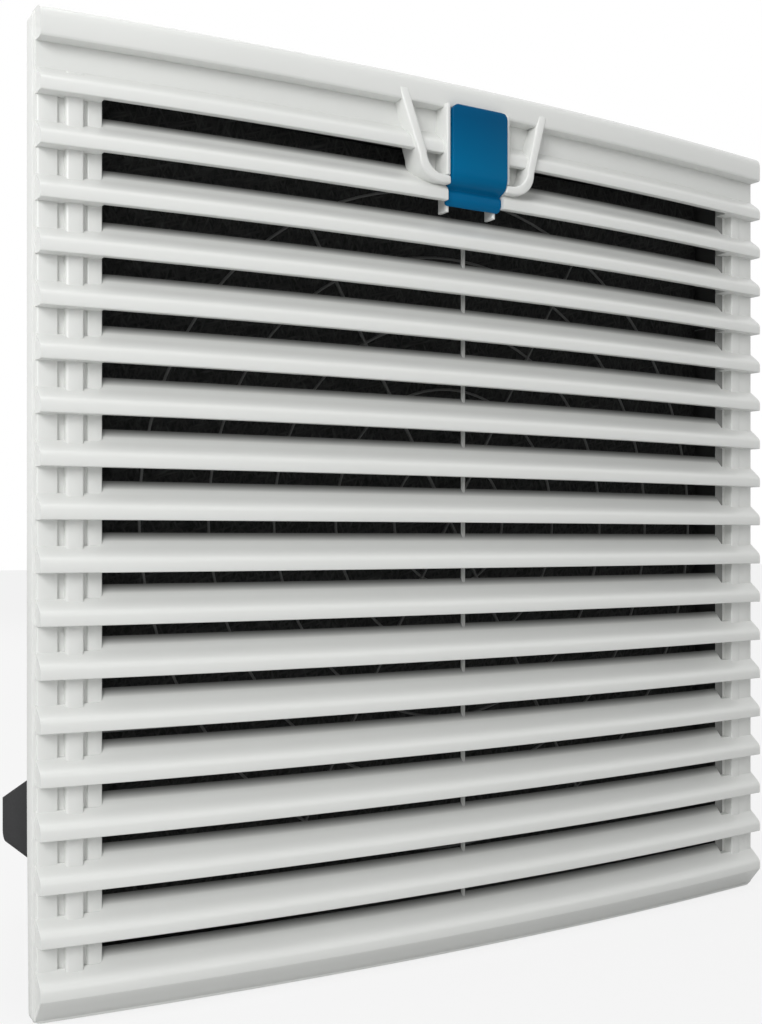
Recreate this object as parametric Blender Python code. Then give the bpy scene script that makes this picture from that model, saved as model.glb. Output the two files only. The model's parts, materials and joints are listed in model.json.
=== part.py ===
"""Cabinet filter fan with a hinged louvre cover, for a square panel cut-out.

The frame stands on the mounting plane: X right as seen from the front, +Y into the cabinet,
Z up, origin at the centre of the panel cut-out. Sizes are in millimetres and become metres
when a mesh is made. The depth w of the cover runs from 0 at the louvre tips beside the side
edges into the cabinet, before the cover gets its arch.
"""
import math

import bmesh
import bpy
from mathutils import Matrix, Vector

MM = 0.001
GAP = 0.3

# Panel and frame
CUTOUT = 292.0
COLLAR_CLEARANCE = 1.0
COLLAR_WALL = 2.5
FLANGE = 307.0
FLANGE_DEPTH = 3.2
FLANGE_CORNER = 5.0
TUB_DEPTH = 22.6
TUB_FLOOR = 3.0
SEAL_WIDTH = 3.6
SEAL_DEPTH = 1.5
SEAL_INSET = 1.9

# Cover
FACE = 323.0
FACE_CORNER = 3.0
FRONT_DEPTH = 25.0
ROWS = 17
CAP_HEIGHT = 10.55
LIP_HEIGHT = 8.25
ARCH = 9.5
SIDE_STEP = 1.0
RIM_FRONT = 6.0
RIM_BACK = 12.0
RIM_WALL = 1.8
BOTTOM_BACK = 10.0
COVER_BACK = 9.0
RECESS = 5.5
RISE = 8.6
TIP_BAND = 3.2
TIP_EDGE = 0.7
BLADE_WALL = 2.6
BLADE_TOP = 13.0
BLADE_LEAN = 2.8
MARGIN = 20.6
RIB = 1.2
SKIN = 2.2
ARCH_STATIONS = 2

# Vertical grooves beside the slots, as distance from the louvre end, width and depth
GROOVES = ((6.9, 2.2, 2.2), (14.5, 1.9, 2.4))
PAD_START = 16.2
PAD_DEPTH = 1.1

# Latch
TAB_WIDTH = 24.4
TAB_PROUD = 3.0
TAB_THICK = 2.0
TAB_ABOVE = 18.0
TAB_BELOW = 12.0
LIP_BELOW = 18.4
BEZEL_TOP_HALF = 33.0
BEZEL_LOW_HALF = 26.0
BEZEL_BOTTOM = 11.5
BEZEL_CORNER = 9.0
BEZEL_WALL = 3.6
BEZEL_PROUD = 2.0
LATCH_PIN_R = 1.0
LATCH_PIN_W = 2.5
LATCH_PIN_UP = 13.5
LATCH_ARM_HALF = 5.0
LATCH_ARM_THICK = 3.2
HOOK_BITE = 1.2
HOOK_CLEARANCE = 0.7
HOOK_THICK = 2.0
KEEPER_DEPTH = 2.0
KEEPER_HALF = 10.0
WINDOW_HALF = 9.3
HOUSING_WALL = 1.8

# Hinge
HINGE_Y = -6.0
HINGE_UP = 4.5
HINGE_X = 105.0
EAR_WIDTH = 6.0
EAR_R = 2.2
LUG_WIDTH = 3.2
LUG_R = 2.4
HINGE_PIN_R = 1.1

# Filter
MAT_FRONT = 2.3
MAT_SIDE_CLEARANCE = 4.1
MAT_CLEARANCE = 1.0
GRID_THICK = 2.0
GRID_RING_IN = 35.0
GRID_RING_STEP = 40.0
GRID_BAR = 3.0
GRID_EDGE = 9.0
RETAINER_THICK = 1.4
RETAINER_RING_STEP = 25.0
RETAINER_RING_COUNT = 5
RETAINER_BAR = 1.6
RETAINER_SPOKES = 6
RETAINER_ARM_Z = 70.0

# Panel catches
CATCH_Z = 75.0
CATCH_HALF = 11.0
CATCH_BITE = 3.2
PANEL_MAX = 2.5
CATCH_LENGTH = 11.2
CATCH_BOSS = 4.0
TRUNNION_R = 0.9

# Fan
MOTOR_CAP_DEPTH = 20.5
SHROUD_FLANGE_OUT = 9.5
SHROUD_FLANGE = 3.0
SHROUD_SIDE_CLEARANCE = 22.0
FAN_OPENING_IN = 3.5
SHROUD_TAPER = 10.0
SHROUD_WALL = 2.5
SHROUD_BACK = 98.0
FAN_SCREW_IN = 4.7
STRUTS = 4
STRUT_WIDTH = 9.0
STRUT_DEPTH = 6.0
HUB_R = 47.0
HUB_BORE_R = 30.0
TIP_GAP = 2.5
BLADES = 7
ROTOR_R = 46.0
ROTOR_FRONT = 46.0
ROTOR_DEPTH = 40.0
ROTOR_WALL = 2.5
IMPELLER_WALL = 3.4
RUNNING_GAP = 0.5
STATOR_R = 37.5
STATOR_BORE_R = 14.0
STATOR_DEPTH = 24.0
STATOR_FRONT = 54.0
TEETH = 8
TOOTH_LIP = 4.0
CORE_YOKE = 9.0
SHAFT_R = 4.0
BEARING_R = 9.0
BEARING_WIDTH = 7.0
TUBE_R = 13.6
CAP_R = 40.0
GUARD_RING_COUNT = 4
GUARD_RING_STEP = 17.0
GUARD_RING_IN = 9.0
GUARD_WIRE_R = 1.1
GUARD_STANDOFF = 9.0
GUARD_FOOT_OUT = 4.5

# Terminal box
BOX_LEFT = -143.5
BOX_WIDTH = 30.0
BOX_BOTTOM = -125.0
BOX_BACK = 95.9
BOX_BACK_TOP = -108.5
BOX_SLOPE = 0.36
BOX_WALL = 2.0
GLAND_HEX = 16.0
GLAND_BORE_R = 3.2
LEAD_R = 2.0

SMOOTH_ANGLE = 30.0
ROUND = 36

# Values that follow from the sizes above
HALF = FACE / 2
TIP_HALF = HALF - SIDE_STEP
PITCH = (FACE - CAP_HEIGHT - LIP_HEIGHT) / (ROWS + 1)
EDGE_TIP_Y = -(FRONT_DEPTH - ARCH - TAB_PROUD)
COLLAR_HALF = (CUTOUT - 2 * COLLAR_CLEARANCE) / 2
TUB_HALF = COLLAR_HALF - COLLAR_WALL
SLOT_HALF = TIP_HALF - MARGIN
HINGE_Z = -HALF + HINGE_UP
GRID_BACK = TUB_DEPTH - TUB_FLOOR - GAP
MAT_BACK = GRID_BACK - GRID_THICK - GAP
SHROUD_START = TUB_DEPTH + GAP
STRUT_START = SHROUD_BACK - STRUT_DEPTH
DEPTH_BEHIND = SHROUD_BACK + MOTOR_CAP_DEPTH
SHROUD_FRONT_R = TUB_HALF - SHROUD_SIDE_CLEARANCE
SHROUD_BACK_R = SHROUD_FRONT_R - SHROUD_TAPER
FAN_OPENING_R = SHROUD_FRONT_R - FAN_OPENING_IN
SHROUD_FLANGE_R = SHROUD_FRONT_R + SHROUD_FLANGE_OUT
MAT_HALF_WIDTH = TUB_HALF - MAT_SIDE_CLEARANCE
FAN_SCREW_CIRCLE_R = SHROUD_FLANGE_R - FAN_SCREW_IN
GUARD_FOOT_R = SHROUD_BACK_R + GUARD_FOOT_OUT
GUARD_RINGS = [GUARD_FOOT_R - GUARD_RING_IN - GUARD_RING_STEP * k for k in reversed(range(GUARD_RING_COUNT))]
GRID_RINGS = [FAN_OPENING_R - GRID_RING_IN - GRID_RING_STEP * k for k in (1, 0)]
RETAINER_RINGS = [RETAINER_RING_STEP * k for k in range(1, RETAINER_RING_COUNT + 1)]


def clear_scene():
    for obj in list(bpy.data.objects):
        bpy.data.objects.remove(obj, do_unlink=True)


def tip_z(row):
    """Height of the tip line of a louvre; row -1 is the lower edge of the cap."""
    return HALF - CAP_HEIGHT - (row + 1) * PITCH


def arch_at(x):
    """How far the cover bulges towards the viewer at x."""
    return ARCH * (1 - min(1.0, abs(x) / TIP_HALF) ** 2)


def deep(w):
    """Y of the cover depth w, before the arch."""
    return EDGE_TIP_Y + w


def material(name, colour, roughness, metallic=0.0):
    mat = bpy.data.materials.new(name)
    mat.use_nodes = True
    shader = mat.node_tree.nodes["Principled BSDF"]
    shader.inputs["Base Color"].default_value = (*colour, 1.0)
    shader.inputs["Roughness"].default_value = roughness
    shader.inputs["Metallic"].default_value = metallic
    return mat


def solid(verts, faces):
    """A closed temporary object from points in millimetres, with its faces turned outwards."""
    mesh = bpy.data.meshes.new("solid")
    mesh.from_pydata([Vector(v) * MM for v in verts], [], faces)
    bm = bmesh.new()
    bm.from_mesh(mesh)
    bmesh.ops.remove_doubles(bm, verts=bm.verts, dist=1e-7)
    bmesh.ops.recalc_face_normals(bm, faces=bm.faces)
    bm.to_mesh(mesh)
    bm.free()
    obj = bpy.data.objects.new("solid", mesh)
    bpy.context.scene.collection.objects.link(obj)
    return obj


def prism(outline, axis, low, high):
    """An outline in the two other axes, in X, Y, Z order, extruded along axis."""
    def place(point, along):
        a, b = point
        if axis == "X":
            return (along, a, b)
        if axis == "Y":
            return (a, along, b)
        return (a, b, along)
    count = len(outline)
    verts = [place(p, low) for p in outline] + [place(p, high) for p in outline]
    faces = [tuple(range(count)), tuple(reversed(range(count, 2 * count)))]
    for i in range(count):
        j = (i + 1) % count
        faces.append((i, j, count + j, count + i))
    return solid(verts, faces)


def block(x0, x1, y0, y1, z0, z1):
    return prism([(x0, y0), (x1, y0), (x1, y1), (x0, y1)], "Z", z0, z1)


def spun(outline, segments=ROUND, centre=(0.0, 0.0)):
    """A closed outline of (radius, y) turned about an axis along Y."""
    verts = []
    faces = []
    count = len(outline)
    for s in range(segments):
        angle = 2 * math.pi * s / segments
        for radius, y in outline:
            verts.append((centre[0] + radius * math.cos(angle), y, centre[1] + radius * math.sin(angle)))
    for s in range(segments):
        t = (s + 1) % segments
        for i in range(count):
            j = (i + 1) % count
            ring = [s * count + i, s * count + j, t * count + j, t * count + i]
            corners = []
            for index in ring:
                if not any(Vector(verts[index]) == Vector(verts[c]) for c in corners):
                    corners.append(index)
            if len(corners) > 2:
                faces.append(tuple(corners))
    return solid(verts, faces)


def rounded_rect(x0, x1, z0, z1, radius, steps=4):
    points = []
    for cx, cz, start in ((x1 - radius, z1 - radius, 0), (x0 + radius, z1 - radius, 90),
                          (x0 + radius, z0 + radius, 180), (x1 - radius, z0 + radius, 270)):
        for k in range(steps + 1):
            angle = math.radians(start + 90 * k / steps)
            points.append((cx + radius * math.cos(angle), cz + radius * math.sin(angle)))
    return points


def arc(centre, radius, start, end, steps):
    """Points of an arc in degrees, both ends included."""
    points = []
    for k in range(steps + 1):
        angle = math.radians(start + (end - start) * k / steps)
        points.append((centre[0] + radius * math.cos(angle), centre[1] + radius * math.sin(angle)))
    return points


def star(count, reach, half_width):
    """Outline of bars that cross at the centre."""
    points = []
    inner = half_width / math.sin(math.pi / count)
    for k in range(count):
        angle = 2 * math.pi * k / count
        along = Vector((math.cos(angle), math.sin(angle)))
        across = Vector((-math.sin(angle), math.cos(angle)))
        points.append(tuple(along * reach - across * half_width))
        points.append(tuple(along * reach + across * half_width))
        between = angle + math.pi / count
        points.append((inner * math.cos(between), inner * math.sin(between)))
    return points


def turned(obj, degrees, axis="Y", centre=(0.0, 0.0, 0.0)):
    """Turn a temporary object's mesh about an axis through centre."""
    pivot = Vector(centre) * MM
    turn = Matrix.Rotation(math.radians(degrees), 4, axis)
    obj.data.transform(Matrix.Translation(pivot) @ turn @ Matrix.Translation(-pivot))
    return obj


def together(objects):
    """Several solids that stand apart, as one object."""
    bm = bmesh.new()
    for obj in objects:
        bm.from_mesh(obj.data)
        bpy.data.objects.remove(obj, do_unlink=True)
    mesh = bpy.data.meshes.new("solid")
    bm.to_mesh(mesh)
    bm.free()
    obj = bpy.data.objects.new("solid", mesh)
    bpy.context.scene.collection.objects.link(obj)
    return obj


def carve(obj, tool, operation="DIFFERENCE"):
    """Apply an exact boolean and take the tool away."""
    modifier = obj.modifiers.new("carve", "BOOLEAN")
    modifier.operation = operation
    modifier.solver = "EXACT"
    modifier.object = tool
    graph = bpy.context.evaluated_depsgraph_get()
    mesh = bpy.data.meshes.new_from_object(obj.evaluated_get(graph))
    obj.modifiers.clear()
    obj.data = mesh
    bpy.data.objects.remove(tool, do_unlink=True)
    return obj


def add(obj, tool):
    return carve(obj, tool, "UNION")


def tidy_mesh(obj):
    """Join points that a boolean left on top of each other."""
    bm = bmesh.new()
    bm.from_mesh(obj.data)
    bmesh.ops.remove_doubles(bm, verts=bm.verts, dist=2e-6)
    bmesh.ops.dissolve_degenerate(bm, edges=bm.edges, dist=2e-6)
    bm.to_mesh(obj.data)
    bm.free()


def finish(obj, name, mat, parent=None, smooth=False):
    """Name a solid, give it its material and hang it on its joint's empty."""
    obj.name = name
    obj.data.name = name
    obj.data.materials.clear()
    obj.data.materials.append(mat)
    if smooth:
        obj.data.shade_smooth()
        obj.data.set_sharp_from_angle(angle=math.radians(SMOOTH_ANGLE))
    if parent is not None:
        obj.parent = parent
        obj.matrix_parent_inverse = parent.matrix_world.inverted()
    return obj


def joint_empty(name, point, parent=None):
    empty = bpy.data.objects.new(name, None)
    bpy.context.scene.collection.objects.link(empty)
    empty.location = Vector(point) * MM
    if parent is not None:
        empty.parent = parent
        empty.matrix_parent_inverse = parent.matrix_world.inverted()
    bpy.context.view_layer.update()
    return empty


def cover_front_outline():
    """Section of the cover's front, as (y, z) from the top back corner down to the lip."""
    inset = GAP
    top = HALF - inset
    points = [(COVER_BACK, top), (2.2, top), (0.6, top - 0.9), (0.0, top - 2.3)]
    points += [(0.0, tip_z(-1) + TIP_EDGE), (TIP_EDGE, tip_z(-1))]
    for row in range(ROWS + 1):
        tip = tip_z(row)
        points += [(RECESS, tip_z(row - 1)), (RECESS, tip + RISE), (1.0, tip + TIP_BAND + 1.6),
                   (0.0, tip + TIP_BAND), (0.0, tip + TIP_EDGE)]
        points.append((TIP_EDGE, tip) if row < ROWS else (TIP_EDGE, tip - 0.6))
    points += [(COVER_BACK - 1.5, -HALF + inset), (COVER_BACK, -HALF + inset)]
    return [(deep(w), z) for w, z in points]


def comb_outline():
    """Section of the air space behind and between the louvres."""
    behind = COVER_BACK + 0.6
    hollow = [(RECESS + 1.4, RISE - 1.7), (BLADE_WALL, TIP_BAND), (BLADE_WALL, -0.6)]
    top_edge = [(RECESS - 1.0, RISE + 0.3), (RECESS + 0.2, RISE + 0.3),
                (RECESS + BLADE_LEAN / 2, BLADE_TOP - 1.9), (RECESS + BLADE_LEAN, BLADE_TOP)]
    blade_end = [(COVER_BACK - 0.2, BLADE_TOP - 0.4), (COVER_BACK - 0.6, BLADE_TOP - 2.6)]
    points = [(behind, tip_z(0) + RISE - 1.4)]
    points += [(w, tip_z(0) + up) for w, up in hollow]
    for row in range(1, ROWS):
        points += [(w, tip_z(row) + up) for w, up in top_edge + blade_end + hollow]
    points += [(w, tip_z(ROWS) + up) for w, up in top_edge]
    points.append((behind, tip_z(ROWS) + BLADE_TOP))
    return [(deep(w), z) for w, z in points]


def bezel_outline(inset):
    """Half-round shield shape around the latch tab, as (x, z), inset all round."""
    top = tip_z(-1) + TIP_EDGE + 1.0
    bottom = tip_z(0) - BEZEL_BOTTOM + inset
    corner = BEZEL_CORNER - inset / 2
    half_low = BEZEL_LOW_HALF - inset
    half_top = BEZEL_TOP_HALF - inset
    right = arc((half_low - corner, bottom + corner), corner, -90, 0, 5)
    left = [(-x, z) for x, z in reversed(right)]
    return left + right + [(half_top, top), (-half_top, top)]


def side_boxes(start, width, front, back):
    """One box for each recess on both sides, between louvre ends."""
    boxes = []
    for row in range(ROWS):
        high = tip_z(row) - 0.3
        low = tip_z(row + 1) + RISE + 0.2
        for side in (-1, 1):
            a = side * (TIP_HALF - start)
            b = side * (TIP_HALF - start - width)
            boxes.append(block(min(a, b), max(a, b), deep(front), deep(back), low, high))
    return together(boxes)


def make_cover(mat, parent):
    """The louvred cover: one moulding with blades, margins, cap, latch bezel and hinge lugs."""
    cover = prism(cover_front_outline(), "X", -TIP_HALF, TIP_HALF)
    comb = comb_outline()
    carve(cover, together([prism(comb, "X", -SLOT_HALF, -RIB / 2), prism(comb, "X", RIB / 2, SLOT_HALF)]))
    cap = tip_z(-1)
    behind = COVER_BACK + 0.6
    top_pocket = [(behind, tip_z(0) + RISE + 1.0), (RECESS + SKIN, tip_z(0) + RISE + 1.0),
                  (RECESS + SKIN, cap + SKIN), (BLADE_WALL, cap + SKIN),
                  (BLADE_WALL, HALF - SKIN - 0.5), (behind, HALF - SKIN - 0.5)]
    low = tip_z(ROWS)
    low_pocket = [(behind, low + RISE + 2.8), (COVER_BACK - 0.3, low + RISE + 2.8),
                  (COVER_BACK - 0.6, low + RISE + 1.8), (RECESS + 1.4, low + RISE - 1.7),
                  (BLADE_WALL, low + TIP_BAND), (BLADE_WALL, low - 0.3),
                  (COVER_BACK - 1.8, low - LIP_HEIGHT + SKIN + 0.2), (behind, low - LIP_HEIGHT + SKIN + 0.2)]
    pockets = []
    for outline in (top_pocket, low_pocket):
        pockets.append(prism([(deep(w), z) for w, z in outline], "X", -TIP_HALF + SKIN, TIP_HALF - SKIN))
    carve(cover, together(pockets))
    carve(cover, together([side_boxes(start, width, RECESS - 0.5, RECESS + cut)
                           for start, width, cut in GROOVES]))
    carve(cover, side_boxes(PAD_START, MARGIN - PAD_START + 0.3, RECESS - 0.6, RECESS + PAD_DEPTH))
    rim = prism(rounded_rect(-HALF, HALF, -HALF, HALF, FACE_CORNER), "Y", deep(RIM_FRONT), deep(RIM_BACK))
    inner = HALF - RIM_WALL
    carve(rim, block(-inner, inner, deep(RIM_FRONT) - 1, deep(RIM_BACK) + 1, -inner, inner))
    add(cover, rim)
    add_latch_housing(cover)
    carve(cover, block(-HALF - 1, HALF + 1, deep(BOTTOM_BACK), deep(RIM_BACK) + 1,
                       -HALF - 1, HINGE_Z + 1.5))
    bend(cover)
    for side in (-1, 1):
        for offset in (-1, 1):
            near = side * HINGE_X + offset * (EAR_WIDTH / 2 + GAP)
            far = near + offset * LUG_WIDTH
            outline = [(HINGE_Y + LUG_R, -HALF + RIM_WALL / 2), (HINGE_Y + LUG_R, HINGE_Z)]
            outline += arc((HINGE_Y, HINGE_Z), LUG_R, 0, 180, 6)[1:]
            outline.append((HINGE_Y - LUG_R, -HALF + RIM_WALL / 2))
            lug = prism(outline, "X", min(near, far), max(near, far))
            add(cover, lug)
    reach = HINGE_X + EAR_WIDTH / 2 + LUG_WIDTH + 1
    bores = []
    for side in (-1, 1):
        a = side * reach
        b = side * (HINGE_X - EAR_WIDTH / 2 - LUG_WIDTH - 1)
        bores.append(rod((min(a, b), HINGE_Y, HINGE_Z), (max(a, b), HINGE_Y, HINGE_Z), HINGE_PIN_R + GAP))
    carve(cover, together(bores))
    tidy_mesh(cover)
    return finish(cover, "louvre_cover", mat, parent)


def rod(start, end, radius, segments=16):
    """A plain round bar between two points that share two of their coordinates."""
    start = Vector(start)
    end = Vector(end)
    if abs(end.x - start.x) > 1e-6:
        outline = arc((start.y, start.z), radius, 0, 360 - 360 / segments, segments - 1)
        return prism(outline, "X", start.x, end.x)
    if abs(end.y - start.y) > 1e-6:
        outline = arc((start.x, start.z), radius, 0, 360 - 360 / segments, segments - 1)
        return prism(outline, "Y", start.y, end.y)
    outline = arc((start.x, start.y), radius, 0, 360 - 360 / segments, segments - 1)
    return prism(outline, "Z", start.z, end.z)


def latch_pin_z():
    return tip_z(0) + LATCH_PIN_UP


def add_latch_housing(cover):
    """Shield-shaped bezel, its floor and the two cheeks that carry the latch pin."""
    add(cover, prism(bezel_outline(0.6), "Y", deep(RECESS + 0.3), deep(COVER_BACK - 0.4)))
    ring = prism(bezel_outline(0.0), "Y", deep(-BEZEL_PROUD), deep(RECESS + 1.0))
    carve(ring, prism(bezel_outline(BEZEL_WALL), "Y", deep(-BEZEL_PROUD) - 1, deep(RECESS + 2.0)))
    add(cover, ring)
    half = TAB_WIDTH / 2 + GAP + HOUSING_WALL
    top = tip_z(0) + TAB_ABOVE - 1.4
    bottom = tip_z(0) - BEZEL_BOTTOM + 0.5
    add(cover, block(-half, half, deep(-BEZEL_PROUD + 0.3), deep(COVER_BACK - 0.5), bottom, top))
    seat = TAB_WIDTH / 2 + GAP
    window_top = latch_pin_z() + LATCH_PIN_R + 1.7
    carve(cover, block(-seat, seat, deep(-BEZEL_PROUD) - 1, deep(-0.2),
                       tip_z(0) - BEZEL_BOTTOM - 2, tip_z(0) + TAB_ABOVE + GAP))
    carve(cover, block(-WINDOW_HALF, WINDOW_HALF, deep(-1.0), deep(COVER_BACK) + 1,
                       tip_z(0) - TAB_BELOW + 3.0, window_top))
    carve(cover, block(-seat, seat, deep(-1.5), deep(4.2), tip_z(1) - 1.0, tip_z(0) - TAB_BELOW + 3.5))
    pin = LATCH_PIN_R + GAP
    carve(cover, rod((-seat, deep(LATCH_PIN_W), latch_pin_z()), (seat, deep(LATCH_PIN_W), latch_pin_z()), pin))


def bend(cover):
    """Give the cover its arch: everything in front of its flat back moves towards the viewer."""
    bm = bmesh.new()
    bm.from_mesh(cover.data)
    step = TIP_HALF / (ARCH_STATIONS + 0.6)
    for k in range(-ARCH_STATIONS, ARCH_STATIONS + 1):
        geometry = bm.verts[:] + bm.edges[:] + bm.faces[:]
        bmesh.ops.bisect_plane(bm, geom=geometry, plane_co=(k * step * MM, 0, 0), plane_no=(1, 0, 0), dist=1e-6)
    bmesh.ops.remove_doubles(bm, verts=bm.verts, dist=2e-6)
    bmesh.ops.triangulate(bm, faces=bm.faces)
    flat_from = deep(COVER_BACK + 0.5) * MM
    for vert in bm.verts:
        if vert.co.y < flat_from:
            vert.co.y -= arch_at(vert.co.x / MM) * MM
    bm.to_mesh(cover.data)
    bm.free()


def make_latch(mat, steel, spring_steel, parent, cover_pivot):
    """The pull tab with its hook, its pin and its return spring."""
    shift = ARCH
    base = tip_z(0)
    front = -TAB_PROUD
    back = front + TAB_THICK
    low = -TAB_BELOW
    section = [(front + 0.6, TAB_ABOVE), (front, TAB_ABOVE - 0.8), (front, low + 4.5), (front + 0.6, low + 2.4),
               (front + 2.2, low + 0.7), (front + 4.2, low), (front + 4.9, low - 0.4), (front + 4.9, low - 1.0),
               (front + 4.2, low - 1.3), (front + 4.2, -LIP_BELOW + 0.8), (front + 4.8, -LIP_BELOW),
               (front + 6.3, -LIP_BELOW), (front + 6.3, low + 1.0), (front + 3.6, low + 2.4),
               (back, low + 4.5), (back, TAB_ABOVE)]
    half = TAB_WIDTH / 2
    tab = prism([(deep(w) - shift, base + up) for w, up in section], "X", -half, half)
    frame = rounded_rect(-half, half, base - LIP_BELOW, base + TAB_ABOVE, 2.0)
    carve(tab, prism(frame, "Y", deep(front) - shift - 1, deep(front) - shift + 12), "INTERSECT")
    arm_top = TUB_HALF - GAP - KEEPER_DEPTH - 1.5 - GAP
    arm_low = arm_top - LATCH_ARM_THICK
    keeper_back = -FLANGE_DEPTH + KEEPER_DEPTH
    hook_front = keeper_back + HOOK_CLEARANCE
    hook_back = hook_front + HOOK_THICK
    hook_top = arm_top + GAP + HOOK_BITE
    arm = [(deep(back) - shift - 0.5, arm_low), (hook_back, arm_low), (hook_back, arm_top),
           (hook_back - 0.8, hook_top), (hook_front, hook_top),
           (hook_front, arm_top), (deep(back) - shift - 0.5, arm_top)]
    add(tab, prism(arm, "X", -LATCH_ARM_HALF, LATCH_ARM_HALF))
    pin_y = deep(LATCH_PIN_W) - shift
    pin_z = latch_pin_z()
    for side in (-1, 1):
        inner = side * (LATCH_ARM_HALF + 0.6)
        outer = side * (WINDOW_HALF - GAP)
        ear = [(deep(back) - shift - 0.5, pin_z - 2.3), (pin_y, pin_z - 2.3)]
        ear += arc((pin_y, pin_z), 2.3, -90, 90, 6)[1:]
        ear.append((deep(back) - shift - 0.5, pin_z + 2.3))
        add(tab, prism(ear, "X", min(inner, outer), max(inner, outer)))
    carve(tab, rod((-half, pin_y, pin_z), (half, pin_y, pin_z), LATCH_PIN_R + GAP))
    tidy_mesh(tab)
    finish(tab, "latch_tab", mat, parent)
    pin_half = TAB_WIDTH / 2
    finish(rod((-pin_half, pin_y, pin_z), (pin_half, pin_y, pin_z), LATCH_PIN_R, 12),
           "latch_pin", steel, cover_pivot, smooth=True)
    finish(torsion_spring(pin_y, pin_z), "latch_spring", spring_steel, cover_pivot, smooth=True)


def torsion_spring(pin_y, pin_z):
    """A closed wire tube wound round the latch pin, with one leg down behind the arm window."""
    wire = 0.32
    coil = LATCH_PIN_R + GAP + wire + 0.05
    turns = 5
    half = LATCH_ARM_HALF - 0.8
    steps = 8
    path = [Vector((-half, pin_y + coil, pin_z - 5.0)), Vector((-half, pin_y + coil, pin_z - 1.0))]
    for k in range(turns * steps + 1):
        angle = 2 * math.pi * k / steps
        x = -half + 2 * half * k / (turns * steps)
        path.append(Vector((x, pin_y + coil * math.cos(angle), pin_z + coil * math.sin(angle))))
    path.append(Vector((half, pin_y + coil, pin_z - 4.0)))
    return tube(path, wire, 4)


def tube(path, radius, sides):
    """A round tube with closed ends along a list of points."""
    verts = []
    normal = None
    for i, point in enumerate(path):
        ahead = path[min(i + 1, len(path) - 1)] - path[max(i - 1, 0)]
        ahead.normalize()
        if normal is None:
            normal = ahead.orthogonal().normalized()
        normal = (normal - ahead * normal.dot(ahead)).normalized()
        across = ahead.cross(normal)
        for s in range(sides):
            angle = 2 * math.pi * s / sides
            verts.append(point + (normal * math.cos(angle) + across * math.sin(angle)) * radius)
    faces = [tuple(range(sides))]
    last = (len(path) - 1) * sides
    faces.append(tuple(reversed(range(last, last + sides))))
    for i in range(len(path) - 1):
        for s in range(sides):
            t = (s + 1) % sides
            faces.append((i * sides + s, i * sides + t, (i + 1) * sides + t, (i + 1) * sides + s))
    return solid(verts, faces)


def make_retainer(mat, parent):
    """Rings and spokes that hold the mat back, seated behind the cover's margins."""
    y1 = -FLANGE_DEPTH - GAP
    y0 = y1 - RETAINER_THICK
    half = RETAINER_BAR / 2
    rings = [spun([(r - half, y0), (r + half, y0), (r + half, y1), (r - half, y1)], 28)
             for r in RETAINER_RINGS]
    grid = together(rings)
    spokes = prism(star(RETAINER_SPOKES, RETAINER_RINGS[-1], half * 1.1), "Y", y0 + 0.1, y1 - 0.1)
    add(grid, spokes)
    outer = RETAINER_RINGS[-1]
    seat = TIP_HALF - MARGIN + 6.0
    arms = []
    for side in (-1, 1):
        for level in (-1, 1):
            z = level * RETAINER_ARM_Z
            start = side * (math.sqrt(outer ** 2 - RETAINER_ARM_Z ** 2) - half)
            end = side * seat
            arms.append(block(min(start, end), max(start, end), y0 + 0.05, y1 - 0.05, z - 3, z + 3))
    add(grid, together(arms))
    tidy_mesh(grid)
    return finish(grid, "filter_retainer", mat, parent)


def square_ring(outer, inner, y0, y1, corner):
    ring = prism(rounded_rect(-outer, outer, -outer, outer, corner), "Y", y0, y1)
    hole = prism(rounded_rect(-inner, inner, -inner, inner, max(0.5, corner - (outer - inner))),
                 "Y", y0 - 1, y1 + 1)
    return carve(ring, hole)


def catch_pivot(side):
    return side * (COLLAR_HALF - 1.7), PANEL_MAX + GAP + CATCH_LENGTH


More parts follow.
